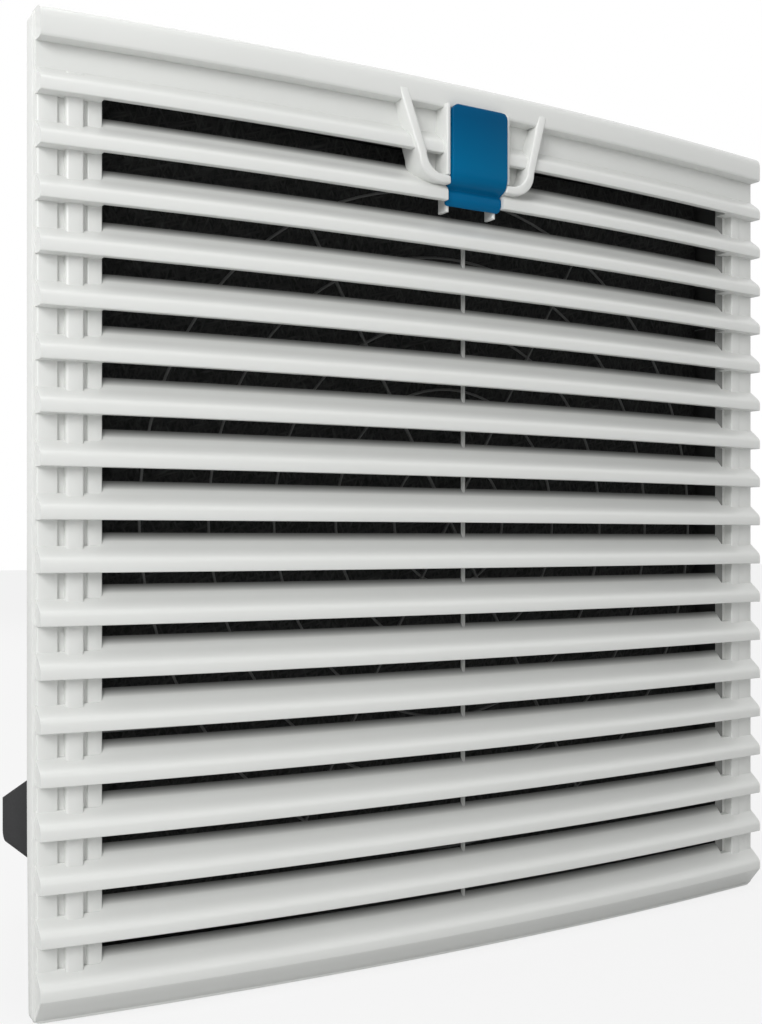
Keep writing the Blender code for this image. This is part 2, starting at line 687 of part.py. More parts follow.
def make_frame(mat):
    """Flange, collar and floor of the mounting frame, with windows for the panel catches."""
    flange_half = FLANGE / 2
    frame = prism(rounded_rect(-flange_half, flange_half, -flange_half, flange_half, FLANGE_CORNER),
                  "Y", -FLANGE_DEPTH, 0.0)
    add(frame, prism(rounded_rect(-COLLAR_HALF, COLLAR_HALF, -COLLAR_HALF, COLLAR_HALF, 4.0),
                     "Y", -1.0, TUB_DEPTH))
    carve(frame, prism(rounded_rect(-TUB_HALF, TUB_HALF, -TUB_HALF, TUB_HALF, 3.0),
                       "Y", -FLANGE_DEPTH - 1, TUB_DEPTH - TUB_FLOOR))
    carve(frame, rod((0, TUB_DEPTH - TUB_FLOOR - 1, 0), (0, TUB_DEPTH + 1, 0), FAN_OPENING_R, ROUND))
    seal_out = flange_half - SEAL_INSET + GAP
    seal_in = seal_out - SEAL_WIDTH - 2 * GAP
    carve(frame, square_ring(seal_out, seal_in, -SEAL_DEPTH - GAP, 1.0, 3.5))
    lip_z = TUB_HALF - KEEPER_DEPTH - 1.5
    add(frame, block(-KEEPER_HALF, KEEPER_HALF, -FLANGE_DEPTH, -FLANGE_DEPTH + KEEPER_DEPTH,
                     lip_z, TUB_HALF + 1))
    for side in (-1, 1):
        for level in (-1, 1):
            z = level * CATCH_Z
            inner = side * (COLLAR_HALF - CATCH_BOSS)
            outer = side * (COLLAR_HALF - 0.5)
            boss = block(min(inner, outer), max(inner, outer), 0.6, TUB_DEPTH - TUB_FLOOR + 1.0,
                         z - CATCH_HALF - 4, z + CATCH_HALF + 4)
            add(frame, boss)
    cuts = []
    holes = []
    for side in (-1, 1):
        px, py = catch_pivot(side)
        for level in (-1, 1):
            z = level * CATCH_Z
            reach = side * (COLLAR_HALF + 1)
            inner = side * (COLLAR_HALF - CATCH_BOSS - 1)
            cuts.append(block(min(reach, inner), max(reach, inner), 1.2, py + 3.0,
                              z - CATCH_HALF - GAP, z + CATCH_HALF + GAP))
            span = CATCH_HALF + GAP + 2.0
            holes.append(rod((px, py, z - span), (px, py, z + span), TRUNNION_R + GAP, 12))
    carve(frame, together(cuts))
    carve(frame, together(holes))
    for side in (-1, 1):
        x0 = side * HINGE_X - EAR_WIDTH / 2
        outline = [(HINGE_Y - EAR_R, HINGE_Z)]
        outline += arc((HINGE_Y, HINGE_Z), EAR_R, 180, 360, 6)[1:]
        outline += [(HINGE_Y + EAR_R, -FLANGE / 2 + 0.4), (-FLANGE_DEPTH + 0.5, -FLANGE / 2 + 0.8),
                    (-FLANGE_DEPTH + 0.5, -FLANGE / 2 + 6.5), (HINGE_Y - EAR_R, -FLANGE / 2 + 4.0)]
        add(frame, prism(outline, "X", x0, x0 + EAR_WIDTH))
    bores = [rod((s * HINGE_X - EAR_WIDTH, HINGE_Y, HINGE_Z), (s * HINGE_X + EAR_WIDTH, HINGE_Y, HINGE_Z),
                 HINGE_PIN_R + GAP) for s in (-1, 1)]
    carve(frame, together(bores))
    carve(frame, together([rod((x, TUB_DEPTH - TUB_FLOOR - 1, z), (x, TUB_DEPTH + 1, z), 1.7, 12)
                           for x, z in fan_screw_places()]))
    tidy_mesh(frame)
    return finish(frame, "mounting_frame", mat)


def fan_screw_places():
    places = []
    for k in range(4):
        angle = math.radians(30 + 90 * k)
        places.append((FAN_SCREW_CIRCLE_R * math.cos(angle), FAN_SCREW_CIRCLE_R * math.sin(angle)))
    return places


def make_catches(mat, empties):
    """Four wedge levers that grip behind the panel and swing inwards as the unit is pushed in."""
    names = []
    for side, across in ((-1, "left"), (1, "right")):
        px, py = catch_pivot(side)
        for level, height in ((1, "upper"), (-1, "lower")):
            z = level * CATCH_Z
            tip_x = CUTOUT / 2 + CATCH_BITE
            outline = [(COLLAR_HALF - 2.6, py - CATCH_LENGTH), (tip_x - 0.4, py - CATCH_LENGTH),
                       (tip_x, py - CATCH_LENGTH + 0.9), (COLLAR_HALF + 0.3, py - 1.4)]
            outline += arc((COLLAR_HALF - 1.7, py), 2.0, -20, 200, 8)
            outline = [(side * x, y) for x, y in outline]
            lever = prism(outline, "Z", z - CATCH_HALF, z + CATCH_HALF)
            span = CATCH_HALF + GAP + 1.4
            add(lever, rod((px, py, z - span), (px, py, z + span), TRUNNION_R, 12))
            tidy_mesh(lever)
            name = "panel_catch_" + height + "_" + across
            finish(lever, name, mat, empties[name])
            names.append(name)
    return names


def make_seal_and_filter(rubber, mat_fibre, plastic):
    flange_half = FLANGE / 2
    outer = flange_half - SEAL_INSET
    seal = square_ring(outer, outer - SEAL_WIDTH, -SEAL_DEPTH, 0.0, 3.2)
    finish(seal, "panel_seal", rubber)
    high = TUB_HALF - MAT_CLEARANCE
    mat_body = prism(rounded_rect(-MAT_HALF_WIDTH, MAT_HALF_WIDTH, -high, high, 3.0, 2),
                     "Y", MAT_FRONT, MAT_BACK)
    finish(mat_body, "filter_mat", mat_fibre)
    y0 = GRID_BACK - GRID_THICK
    half = GRID_BAR / 2
    outer_r = FAN_OPENING_R + GRID_EDGE
    rings = [spun([(r - half, y0), (r + half, y0), (r + half, GRID_BACK), (r - half, GRID_BACK)], 24)
             for r in GRID_RINGS]
    rings.append(spun([(outer_r - GRID_EDGE - 1, y0), (outer_r, y0), (outer_r, GRID_BACK),
                       (outer_r - GRID_EDGE - 1, GRID_BACK)], ROUND))
    grid = together(rings)
    add(grid, prism(star(6, outer_r - 2, half), "Y", y0 + 0.15, GRID_BACK - 0.15))
    tidy_mesh(grid)
    finish(grid, "support_grid", plastic)


def shroud_inner(y):
    """Inner radius of the fan housing at y, narrowing towards the rear."""
    share = (y - SHROUD_START) / (SHROUD_BACK - SHROUD_START)
    share = min(1.0, max(0.0, share))
    return SHROUD_FRONT_R - SHROUD_WALL + (SHROUD_BACK_R - SHROUD_FRONT_R) * share ** 1.5


def make_shroud(mat):
    """Fan housing: flange, narrowing duct, rear bosses, struts and the hub that holds the motor."""
    steps = 3
    inner = []
    for k in range(steps + 1):
        y = SHROUD_START + (SHROUD_BACK - SHROUD_START) * k / steps
        inner.append((shroud_inner(y), y))
    outer = [(r + SHROUD_WALL, y) for r, y in reversed(inner)]
    outer[-1] = (SHROUD_FLANGE_R, SHROUD_START)
    flange_back = SHROUD_START + SHROUD_FLANGE
    outer.insert(-1, (SHROUD_FLANGE_R, flange_back))
    outer.insert(-2, (shroud_inner(flange_back) + SHROUD_WALL, flange_back))
    shroud = spun(inner + outer, ROUND)
    hub = spun([(HUB_BORE_R, STRUT_START + 1), (HUB_R, STRUT_START + 1), (HUB_R, SHROUD_BACK - 0.5),
                (HUB_BORE_R, SHROUD_BACK - 0.5)], 32)
    bars = []
    reach = shroud_inner(SHROUD_BACK) + SHROUD_WALL / 2
    for k in range(STRUTS):
        bar = block(HUB_R - 2, reach, STRUT_START + 0.2, SHROUD_BACK - 0.3, -STRUT_WIDTH / 2, STRUT_WIDTH / 2)
        bars.append(turned(bar, 45 + 90 * k))
    add(hub, together(bars))
    add(shroud, hub)
    bosses = []
    for k in range(4):
        x0 = shroud_inner(SHROUD_BACK) + SHROUD_WALL / 2
        boss = block(x0, GUARD_FOOT_R + 4, SHROUD_BACK - 12, SHROUD_BACK - 0.1, -4.5, 4.5)
        bosses.append(turned(boss, 90 * k))
    add(shroud, together(bosses))
    cuts = [rod((x, SHROUD_START - 1, z), (x, flange_back + 1, z), 2.1, 12) for x, z in fan_screw_places()]
    cuts += [rod((x, SHROUD_BACK - 9, z), (x, SHROUD_BACK + 1, z), 1.5, 10) for x, z in guard_foot_places()]
    carve(shroud, together(cuts))
    tidy_mesh(shroud)
    return finish(shroud, "fan_shroud", mat, smooth=True)


def guard_foot_places():
    return [(GUARD_FOOT_R, 0.0), (0.0, GUARD_FOOT_R), (-GUARD_FOOT_R, 0.0), (0.0, -GUARD_FOOT_R)]


def make_guard(mat):
    """Wire guard behind the fan, on four feet."""
    centre_y = SHROUD_BACK + GUARD_STANDOFF
    rings = []
    for radius in GUARD_RINGS:
        section = [(radius + dr, centre_y + dy) for dr, dy in
                   ((-GUARD_WIRE_R, 0), (0, -GUARD_WIRE_R), (GUARD_WIRE_R, 0), (0, GUARD_WIRE_R))]
        rings.append(spun(section, 28))
    guard = together(rings)
    spokes = []
    for k in range(4):
        bar = block(GUARD_RINGS[0] - 1, GUARD_FOOT_R - 3.5, centre_y + 0.3, centre_y + 2.3, -1.1, 1.1)
        riser = block(GUARD_FOOT_R - 5.5, GUARD_FOOT_R - 3.6, SHROUD_BACK + GAP + 0.1, centre_y + 2.2, -1.6, 1.6)
        foot = block(GUARD_FOOT_R - 5.4, GUARD_FOOT_R + 3.8, SHROUD_BACK + GAP, SHROUD_BACK + GAP + 1.6, -4, 4)
        add(bar, riser)
        add(bar, foot)
        spokes.append(turned(bar, 90 * k))
    add(guard, together(spokes))
    holes = [rod((x, SHROUD_BACK - 1, z), (x, SHROUD_BACK + 4, z), 1.6, 10) for x, z in guard_foot_places()]
    carve(guard, together(holes))
    tidy_mesh(guard)
    return finish(guard, "rear_guard", mat)


def pan_screw(x, z, seat_y, length, shank_r, head_r, facing=1):
    """A pan head screw whose head sits on seat_y and whose shank goes towards -Y times facing."""
    head = 2.2
    outline = [(0, seat_y + facing * head), (head_r * 0.6, seat_y + facing * head),
               (head_r, seat_y + facing * head * 0.4), (head_r, seat_y), (shank_r, seat_y),
               (shank_r, seat_y - facing * length), (0, seat_y - facing * (length + 0.6))]
    return spun(outline, 10, (x, z))


def make_screws(steel):
    seat = SHROUD_START + SHROUD_FLANGE + GAP
    for k, (x, z) in enumerate(fan_screw_places()):
        finish(pan_screw(x, z, seat, 5.6, 1.4, 3.4), f"fan_screw_{k + 1}", steel, smooth=True)
    seat = SHROUD_BACK + GAP + 1.6 + GAP
    for k, (x, z) in enumerate(guard_foot_places()):
        finish(pan_screw(x, z, seat, 8.4, 1.2, 2.8), f"guard_screw_{k + 1}", steel, smooth=True)


def make_motor(steel, copper, alloy, plastic, spin):
    """External rotor motor: base with bearing tube, wound core, bearings, shaft and rotor."""
    base_front = STRUT_START - GAP - 2.5
    tube_front = STATOR_FRONT - 1.0
    base = spun([(BEARING_R + GAP, tube_front), (TUBE_R, tube_front), (TUBE_R, base_front),
                 (CAP_R, base_front), (CAP_R, STRUT_START - GAP), (HUB_BORE_R - GAP, STRUT_START - GAP),
                 (HUB_BORE_R - GAP, SHROUD_BACK - 1.0), (BEARING_R + GAP, SHROUD_BACK - 1.0)], 32)
    finish(base, "motor_base", alloy, smooth=True)
    slot_half = 4.0
    slot_out = STATOR_R - TOOTH_LIP
    slot_in = STATOR_BORE_R + CORE_YOKE
    outline = []
    for k in range(TEETH):
        centre = 360 * k / TEETH
        spread = math.degrees(math.asin(slot_half * 0.5 / STATOR_R))
        outline += arc((0, 0), STATOR_R, centre + spread, centre + 360 / TEETH - spread, 4)
        angle = math.radians(centre + 360 / TEETH)
        along = Vector((math.cos(angle), math.sin(angle)))
        across = Vector((-math.sin(angle), math.cos(angle)))
        for r, s in ((slot_out, -slot_half * 0.5), (slot_out, -slot_half), (slot_in, -slot_half),
                     (slot_in, slot_half), (slot_out, slot_half), (slot_out, slot_half * 0.5)):
            outline.append(tuple(along * r + across * s))
    core = prism(outline, "Y", STATOR_FRONT, STATOR_FRONT + STATOR_DEPTH)
    carve(core, rod((0, STATOR_FRONT - 1, 0), (0, STATOR_FRONT + STATOR_DEPTH + 1, 0), STATOR_BORE_R, 32))
    finish(core, "stator_core", steel)
    end = 3.4
    rings = []
    for y0 in (STATOR_FRONT - GAP - end, STATOR_FRONT + STATOR_DEPTH + GAP):
        rings.append(spun([(slot_in - 1, y0), (slot_out - 1.5, y0), (slot_out + 1, y0 + end * 0.5),
                           (slot_out - 1.5, y0 + end), (slot_in - 1, y0 + end)], 24))
    winding = together(rings)
    bars = []
    for k in range(TEETH):
        bar = block(slot_in + GAP, slot_out - GAP, STATOR_FRONT - GAP - 1.0, STATOR_FRONT + STATOR_DEPTH + GAP + 1.0,
                    -slot_half + GAP, slot_half - GAP)
        bars.append(turned(bar, 360 * k / TEETH))
    add(winding, together(bars))
    tidy_mesh(winding)
    finish(winding, "stator_winding", copper, smooth=True)
    for name, y0 in (("bearing_front", tube_front + 1.0), ("bearing_rear", base_front - 4.0)):
        y1 = y0 + BEARING_WIDTH
        race = spun([(SHAFT_R + GAP, y0), (6.0, y0), (6.0, y0 + 0.6), (7.4, y0 + 0.6), (7.4, y0),
                     (BEARING_R, y0), (BEARING_R, y1), (SHAFT_R + GAP, y1)], 20)
        finish(race, name, steel, smooth=True)
    rotor_back = ROTOR_FRONT + ROTOR_DEPTH
    cup = spun([(SHAFT_R + GAP, ROTOR_FRONT), (ROTOR_R - 3, ROTOR_FRONT), (ROTOR_R, ROTOR_FRONT + 3),
                (ROTOR_R, rotor_back), (ROTOR_R - ROTOR_WALL, rotor_back),
                (ROTOR_R - ROTOR_WALL, ROTOR_FRONT + ROTOR_WALL), (SHAFT_R + GAP, ROTOR_FRONT + ROTOR_WALL)], ROUND)
    finish(cup, "rotor_cup", steel, spin, smooth=True)
    ring_out = ROTOR_R - ROTOR_WALL - GAP
    ring_in = STATOR_R + RUNNING_GAP
    ring = spun([(ring_in, STATOR_FRONT), (ring_out, STATOR_FRONT), (ring_out, STATOR_FRONT + STATOR_DEPTH),
                 (ring_in, STATOR_FRONT + STATOR_DEPTH)], 40)
    finish(ring, "rotor_ring", alloy, spin, smooth=True)
    shaft_end = base_front + 8.0
    shaft = spun([(0, ROTOR_FRONT - 2.6), (SHAFT_R + 3, ROTOR_FRONT - 2.6), (SHAFT_R + 3, ROTOR_FRONT - GAP),
                  (SHAFT_R, ROTOR_FRONT - GAP), (SHAFT_R, shaft_end - 3.2), (SHAFT_R - 0.9, shaft_end - 3.2),
                  (SHAFT_R - 0.9, shaft_end - 1.8), (SHAFT_R, shaft_end - 1.8), (SHAFT_R - 0.6, shaft_end),
                  (0, shaft_end)], 20)
    finish(shaft, "rotor_shaft", steel, spin, smooth=True)
    clip = spun([(SHAFT_R - 0.6, shaft_end - 2.9), (SHAFT_R + 2.4, shaft_end - 2.9),
                 (SHAFT_R + 2.4, shaft_end - 2.1), (SHAFT_R - 0.6, shaft_end - 2.1)], 20)
    finish(clip, "shaft_clip", steel, spin, smooth=True)
    cap_front = SHROUD_BACK - 0.5 + GAP
    cap = spun([(HUB_R - 3, cap_front), (HUB_R - 3, cap_front + 3), (CAP_R - 2, DEPTH_BEHIND - 2.5),
                (CAP_R - 5, DEPTH_BEHIND), (0, DEPTH_BEHIND), (0, DEPTH_BEHIND - 2.2),
                (CAP_R - 6, DEPTH_BEHIND - 2.2), (CAP_R - 4.5, DEPTH_BEHIND - 4.0),
                (HUB_R - 6, cap_front + 2.5), (HUB_R - 6, cap_front)], 40)
    finish(cap, "motor_cap", plastic, smooth=True)


def blade_section(radius, camber_y, chord, pitch_deg, thickness):
    """Points of one blade section on a cylinder of the given radius, front side then back side."""
    points = []
    count = 5
    for side in (1, -1):
        order = range(count) if side == 1 else range(count - 1, -1, -1)
        for k in order:
            share = k / (count - 1) - 0.5
            along = chord * share
            bow = chord * 0.08 * (1 - 4 * share * share)
            thick = thickness * (1 - 0.55 * abs(2 * share)) * 0.5 * side
            pitch = math.radians(pitch_deg)
            around = along * math.cos(pitch) - (bow + thick) * math.sin(pitch)
            y = camber_y + along * math.sin(pitch) + (bow + thick) * math.cos(pitch)
            angle = around / radius
            points.append((radius * math.sin(angle), y, radius * math.cos(angle)))
    return points


def make_impeller(mat, spin):
    """Seven swept blades on a ring pressed over the rotor cup."""
    hub_front = ROTOR_FRONT + 1.0
    hub_back = ROTOR_FRONT + ROTOR_DEPTH - 1.0
    inner = ROTOR_R + GAP
    outer = inner + IMPELLER_WALL
    impeller = spun([(inner, hub_front), (outer - 1, hub_front), (outer, hub_front + 1.5),
                     (outer, hub_back), (inner, hub_back)], ROUND)
    mid_y = (hub_front + hub_back) / 2
    stations = 5
    blades = []
    for b in range(BLADES):
        verts = []
        faces = []
        for s in range(stations):
            share = s / (stations - 1)
            radius = outer - 1.6 + (shroud_inner(mid_y + 15) - TIP_GAP - outer + 1.6) * share
            section = blade_section(radius, mid_y, 44 + 26 * share, 40 - 14 * share, 4.2 - 1.6 * share)
            sweep = math.radians(360 * b / BLADES + 16 * share * share)
            turn = Matrix.Rotation(sweep, 3, "Y")
            verts += [tuple(turn @ Vector(p)) for p in section]
        ring = len(section)
        faces.append(tuple(range(ring)))
        faces.append(tuple(reversed(range((stations - 1) * ring, stations * ring))))
        for s in range(stations - 1):
            for i in range(ring):
                j = (i + 1) % ring
                faces.append((s * ring + i, s * ring + j, (s + 1) * ring + j, (s + 1) * ring + i))
        blades.append(solid(verts, faces))
    add(impeller, together(blades))
    tidy_mesh(impeller)
    return finish(impeller, "impeller", mat, spin, smooth=True)


def box_top(y):
    """Height of the terminal box's sloping top at y."""
    return BOX_BACK_TOP + BOX_SLOPE * (BOX_BACK - y)


def make_terminal_box(dark, pale, block_mat, steel, lead_mat):
    """Wedge-shaped connection box behind the lower left corner, with lid, terminals and gland."""
    front = SHROUD_START
    x0 = BOX_LEFT
    x1 = BOX_LEFT + BOX_WIDTH
    outline = [(front, BOX_BOTTOM), (front, box_top(front)), (BOX_BACK, BOX_BACK_TOP)]
    outline += arc((BOX_BACK - 4, BOX_BOTTOM + 4), 4, 0, -90, 4)
    shell = prism(outline, "X", x0, x1)
    lid_front = front + 6
    lid_back = BOX_BACK - 6
    lid_depth = 1.8
    inside = [(lid_front, BOX_BOTTOM + BOX_WALL), (lid_front, box_top(lid_front) + 5),
              (lid_back, box_top(lid_back) + 5), (lid_back, BOX_BOTTOM + BOX_WALL)]
    carve(shell, prism(inside, "X", x0 + BOX_WALL, x1 - BOX_WALL))
    seat = [(lid_front - 3, box_top(lid_front - 3) - lid_depth - GAP), (lid_front - 3, box_top(lid_front - 3) + 5),
            (lid_back + 3, box_top(lid_back + 3) + 5), (lid_back + 3, box_top(lid_back + 3) - lid_depth - GAP)]
    carve(shell, prism(seat, "X", x0 + 1.0, x1 - 1.0))
    gland_x = (x0 + x1) / 2
    gland_z = (BOX_BOTTOM + BOX_BACK_TOP) / 2
    carve(shell, rod((gland_x, lid_back - 1, gland_z), (gland_x, BOX_BACK + 1, gland_z), 5.0 + GAP))
    lead_y = 84.0
    lead_z = gland_z
    carve(shell, rod((x1 - BOX_WALL - 1, lead_y, lead_z), (x1 + 1, lead_y, lead_z), LEAD_R + GAP, 12))
    tidy_mesh(shell)
    finish(shell, "terminal_box", dark)
    slide = GAP
    lid_outline = [(lid_front - 3 + slide, box_top(lid_front - 3 + slide) - lid_depth),
                   (lid_front - 3 + slide, box_top(lid_front - 3 + slide)),
                   (lid_back + 3 - slide, box_top(lid_back + 3 - slide)),
                   (lid_back + 3 - slide, box_top(lid_back + 3 - slide) - lid_depth)]
    lid = prism(lid_outline, "X", x0 + 1.0 + GAP, x1 - 1.0 - GAP)
    tongue = [(lid_front + 1, box_top(lid_front + 1) - 3.4), (lid_front + 1, box_top(lid_front + 1) - 1.0),
              (lid_back - 1, box_top(lid_back - 1) - 1.0), (lid_back - 1, box_top(lid_back - 1) - 3.4)]
    add(lid, prism(tongue, "X", x0 + BOX_WALL + 0.8, x1 - BOX_WALL - 0.8))
    tidy_mesh(lid)
    finish(lid, "terminal_lid", dark)
    block_front = 52.0
    block_back = 68.0
    top = BOX_BOTTOM + BOX_WALL + GAP + 11
    terminals = block(x0 + BOX_WALL + 1, x1 - BOX_WALL - 1, block_front, block_back, BOX_BOTTOM + BOX_WALL + GAP, top)
    slots = []
    places = [x0 + BOX_WIDTH * (k + 1) / 4 for k in range(3)]
    for x in places:
        slots.append(rod((x, (block_front + block_back) / 2, top - 5), (x, (block_front + block_back) / 2, top + 1),
                         2.2, 12))
        slots.append(block(x - 1.6, x + 1.6, block_front - 1, block_front + 4, top - 8.5, top - 5.5))
    carve(terminals, together(slots))
    tidy_mesh(terminals)
    finish(terminals, "terminal_block", block_mat)
    for k, x in enumerate(places):
        screw = rod((x, (block_front + block_back) / 2, top - 4.7), (x, (block_front + block_back) / 2, top - 1.2),
                    1.9, 12)
        finish(screw, f"terminal_screw_{k + 1}", steel, smooth=True)
    hexagon = arc((gland_x, gland_z), GLAND_HEX / math.sqrt(3), 30, 330, 5)
    gland = prism(hexagon, "Y", BOX_BACK + GAP, BOX_BACK + GAP + 4.0)
    add(gland, rod((gland_x, lid_back + 1.0, gland_z), (gland_x, BOX_BACK + 2, gland_z), 5.0))
    add(gland, rod((gland_x, BOX_BACK + 2, gland_z), (gland_x, BOX_BACK + 11, gland_z), 5.6))
    carve(gland, rod((gland_x, lid_back - 2, gland_z), (gland_x, BOX_BACK + 13, gland_z), GLAND_BORE_R))
    tidy_mesh(gland)
    finish(gland, "cable_gland", pale, smooth=True)
    nut_front = BOX_BACK + GAP + 4.0 + GAP
    nut = prism(arc((gland_x, gland_z), GLAND_HEX * 0.94 / math.sqrt(3), 30, 330, 5), "Y", nut_front, nut_front + 7.5)
    dome = spun([(0, nut_front + 7.3), (6.6, nut_front + 7.3), (5.6, nut_front + 10.0), (0, nut_front + 10.0)],
                24, (gland_x, gland_z))
    add(nut, dome)
    carve(nut, rod((gland_x, nut_front - 1, gland_z), (gland_x, BOX_BACK + 11 + GAP, gland_z), 5.6 + GAP))
    carve(nut, rod((gland_x, nut_front, gland_z), (gland_x, nut_front + 12, gland_z), GLAND_BORE_R + 0.4))
    tidy_mesh(nut)
    finish(nut, "gland_nut", pale, smooth=True)
    behind = SHROUD_BACK + LEAD_R + GAP
    corner = 45.0
    cosine = math.cos(math.radians(corner))
    rim_r = SHROUD_BACK_R + 1.5
    anchors = [(x1 - BOX_WALL - 6, lead_y, lead_z), (x1 + 1, lead_y, lead_z), (x1 + 4, lead_y, lead_z),
               (x1 + 11, lead_y + 5, lead_z + 5),
               (-(rim_r + 17) * cosine, behind - 4, -(rim_r + 17) * cosine),
               (-rim_r * cosine, behind + 0.3, -rim_r * cosine),
               (-(rim_r - 24) * cosine, behind, -(rim_r - 24) * cosine),
               (-(rim_r - 46) * cosine, behind, -(rim_r - 46) * cosine), (-(HUB_R + 1) * cosine, behind, -(HUB_R + 1) * cosine)]
    finish(tube(smooth_path([Vector(p) for p in anchors], 4), LEAD_R, 6), "motor_lead", lead_mat, smooth=True)


def smooth_path(points, steps):
    """A curve through the given points, with a few steps between each pair."""
    path = []
    count = len(points)
    for i in range(count - 1):
        a = points[max(i - 1, 0)]
        b = points[i]
        c = points[i + 1]
        d = points[min(i + 2, count - 1)]
        for k in range(steps):
            t = k / steps
            path.append(0.5 * ((2 * b) + (c - a) * t + (2 * a - 5 * b + 4 * c - d) * t * t
                               + (3 * b - a - 3 * c + d) * t ** 3))
    path.append(points[-1])
    return path


def make_hinge_pins(steel, pivot):
    for side, name in ((-1, "left"), (1, "right")):
        reach = EAR_WIDTH / 2 + GAP + LUG_WIDTH
        pin = rod((side * HINGE_X - reach, HINGE_Y, HINGE_Z), (side * HINGE_X + reach, HINGE_Y, HINGE_Z),
                  HINGE_PIN_R, 12)
        finish(pin, "hinge_pin_" + name, steel, pivot, smooth=True)


def main():
    clear_scene()
    grey = material("light_grey_plastic", (0.78, 0.79, 0.78), 0.32)
    inner_grey = material("frame_grey_plastic", (0.62, 0.63, 0.62), 0.45)
    blue = material("latch_blue", (0.0, 0.16, 0.38), 0.35)
    charcoal = material("charcoal_plastic", (0.035, 0.035, 0.04), 0.5)
    steel = material("bright_steel", (0.6, 0.6, 0.62), 0.3, 1.0)
    alloy = material("cast_alloy", (0.55, 0.55, 0.56), 0.45, 1.0)
    copper = material("winding_copper", (0.55, 0.25, 0.1), 0.4, 1.0)
    rubber = material("foam_seal", (0.02, 0.02, 0.02), 0.9)
    fibre = material("charcoal_fibre", (0.02, 0.021, 0.022), 0.95)
    pale = material("gland_grey", (0.42, 0.44, 0.47), 0.4)
    cream = material("terminal_plastic", (0.75, 0.74, 0.68), 0.5)
    lead = material("lead_sheath", (0.05, 0.05, 0.05), 0.5)
    cover_pivot = joint_empty("cover_pivot", (0, HINGE_Y, HINGE_Z))
    latch_pivot = joint_empty("latch_pivot_point", (0, deep(LATCH_PIN_W) - ARCH, latch_pin_z()), cover_pivot)
    spin = joint_empty("impeller_axis", (0, ROTOR_FRONT, 0))
    empties = {}
    for side, across in ((-1, "left"), (1, "right")):
        px, py = catch_pivot(side)
        for level, height in ((1, "upper"), (-1, "lower")):
            name = "panel_catch_" + height + "_" + across
            empties[name] = joint_empty(name + "_pivot", (px, py, level * CATCH_Z))
    make_cover(grey, cover_pivot)
    make_latch(blue, steel, steel, latch_pivot, cover_pivot)
    make_retainer(grey, cover_pivot)
    make_hinge_pins(steel, cover_pivot)
    make_frame(inner_grey)
    make_catches(inner_grey, empties)
    make_seal_and_filter(rubber, fibre, inner_grey)
    make_shroud(charcoal)
    make_guard(steel)
    make_screws(steel)
    make_motor(steel, copper, alloy, charcoal, spin)
    make_impeller(charcoal, spin)
    make_terminal_box(charcoal, pale, cream, steel, lead)


main()
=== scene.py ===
"""Dresses the cabinet filter fan: arched louvre cover, latch, filter, fan and stage."""

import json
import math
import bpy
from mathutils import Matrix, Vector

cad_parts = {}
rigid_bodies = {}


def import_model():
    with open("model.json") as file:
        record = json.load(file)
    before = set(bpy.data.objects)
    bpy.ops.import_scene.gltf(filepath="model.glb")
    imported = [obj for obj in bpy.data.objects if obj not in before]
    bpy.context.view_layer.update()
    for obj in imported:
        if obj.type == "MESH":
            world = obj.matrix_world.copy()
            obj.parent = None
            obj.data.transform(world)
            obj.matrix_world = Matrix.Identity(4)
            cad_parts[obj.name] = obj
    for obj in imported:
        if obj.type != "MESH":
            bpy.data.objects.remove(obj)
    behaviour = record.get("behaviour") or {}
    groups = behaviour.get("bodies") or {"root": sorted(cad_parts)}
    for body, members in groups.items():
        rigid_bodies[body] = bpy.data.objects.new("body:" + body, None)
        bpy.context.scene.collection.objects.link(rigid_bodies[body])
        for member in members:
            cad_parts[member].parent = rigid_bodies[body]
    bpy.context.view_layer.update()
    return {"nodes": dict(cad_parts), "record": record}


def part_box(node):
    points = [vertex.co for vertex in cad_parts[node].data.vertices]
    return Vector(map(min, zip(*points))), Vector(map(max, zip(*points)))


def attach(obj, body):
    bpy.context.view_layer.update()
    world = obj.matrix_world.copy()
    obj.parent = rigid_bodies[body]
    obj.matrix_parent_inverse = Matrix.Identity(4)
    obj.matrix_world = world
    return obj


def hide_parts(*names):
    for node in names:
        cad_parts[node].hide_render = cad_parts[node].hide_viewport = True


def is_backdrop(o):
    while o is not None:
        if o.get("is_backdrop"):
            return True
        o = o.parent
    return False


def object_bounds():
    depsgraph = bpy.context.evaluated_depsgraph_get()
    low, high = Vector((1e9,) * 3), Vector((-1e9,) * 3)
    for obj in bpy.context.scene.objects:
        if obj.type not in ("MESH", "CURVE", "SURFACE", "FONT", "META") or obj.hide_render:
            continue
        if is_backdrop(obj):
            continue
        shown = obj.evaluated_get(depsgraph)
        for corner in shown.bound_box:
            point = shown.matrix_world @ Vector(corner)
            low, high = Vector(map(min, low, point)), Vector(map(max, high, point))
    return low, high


bl_info = {
    "name": "Cabinet filter fan",
    "version": (1, 0, 0),
    "blender": (4, 5, 0),
    "location": "View3D > Sidebar > Filter fan",
    "description": "Builds the visible pieces of a cabinet filter fan around its packed solids",
    "category": "Object",
}

import bmesh
import bpy
from bpy.props import FloatProperty, FloatVectorProperty, IntProperty, PointerProperty
from bpy.types import Operator, Panel, PropertyGroup
from mathutils import Matrix, Vector, noise

for leftover in list(bpy.data.objects):
    bpy.data.objects.remove(leftover, do_unlink=True)

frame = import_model()

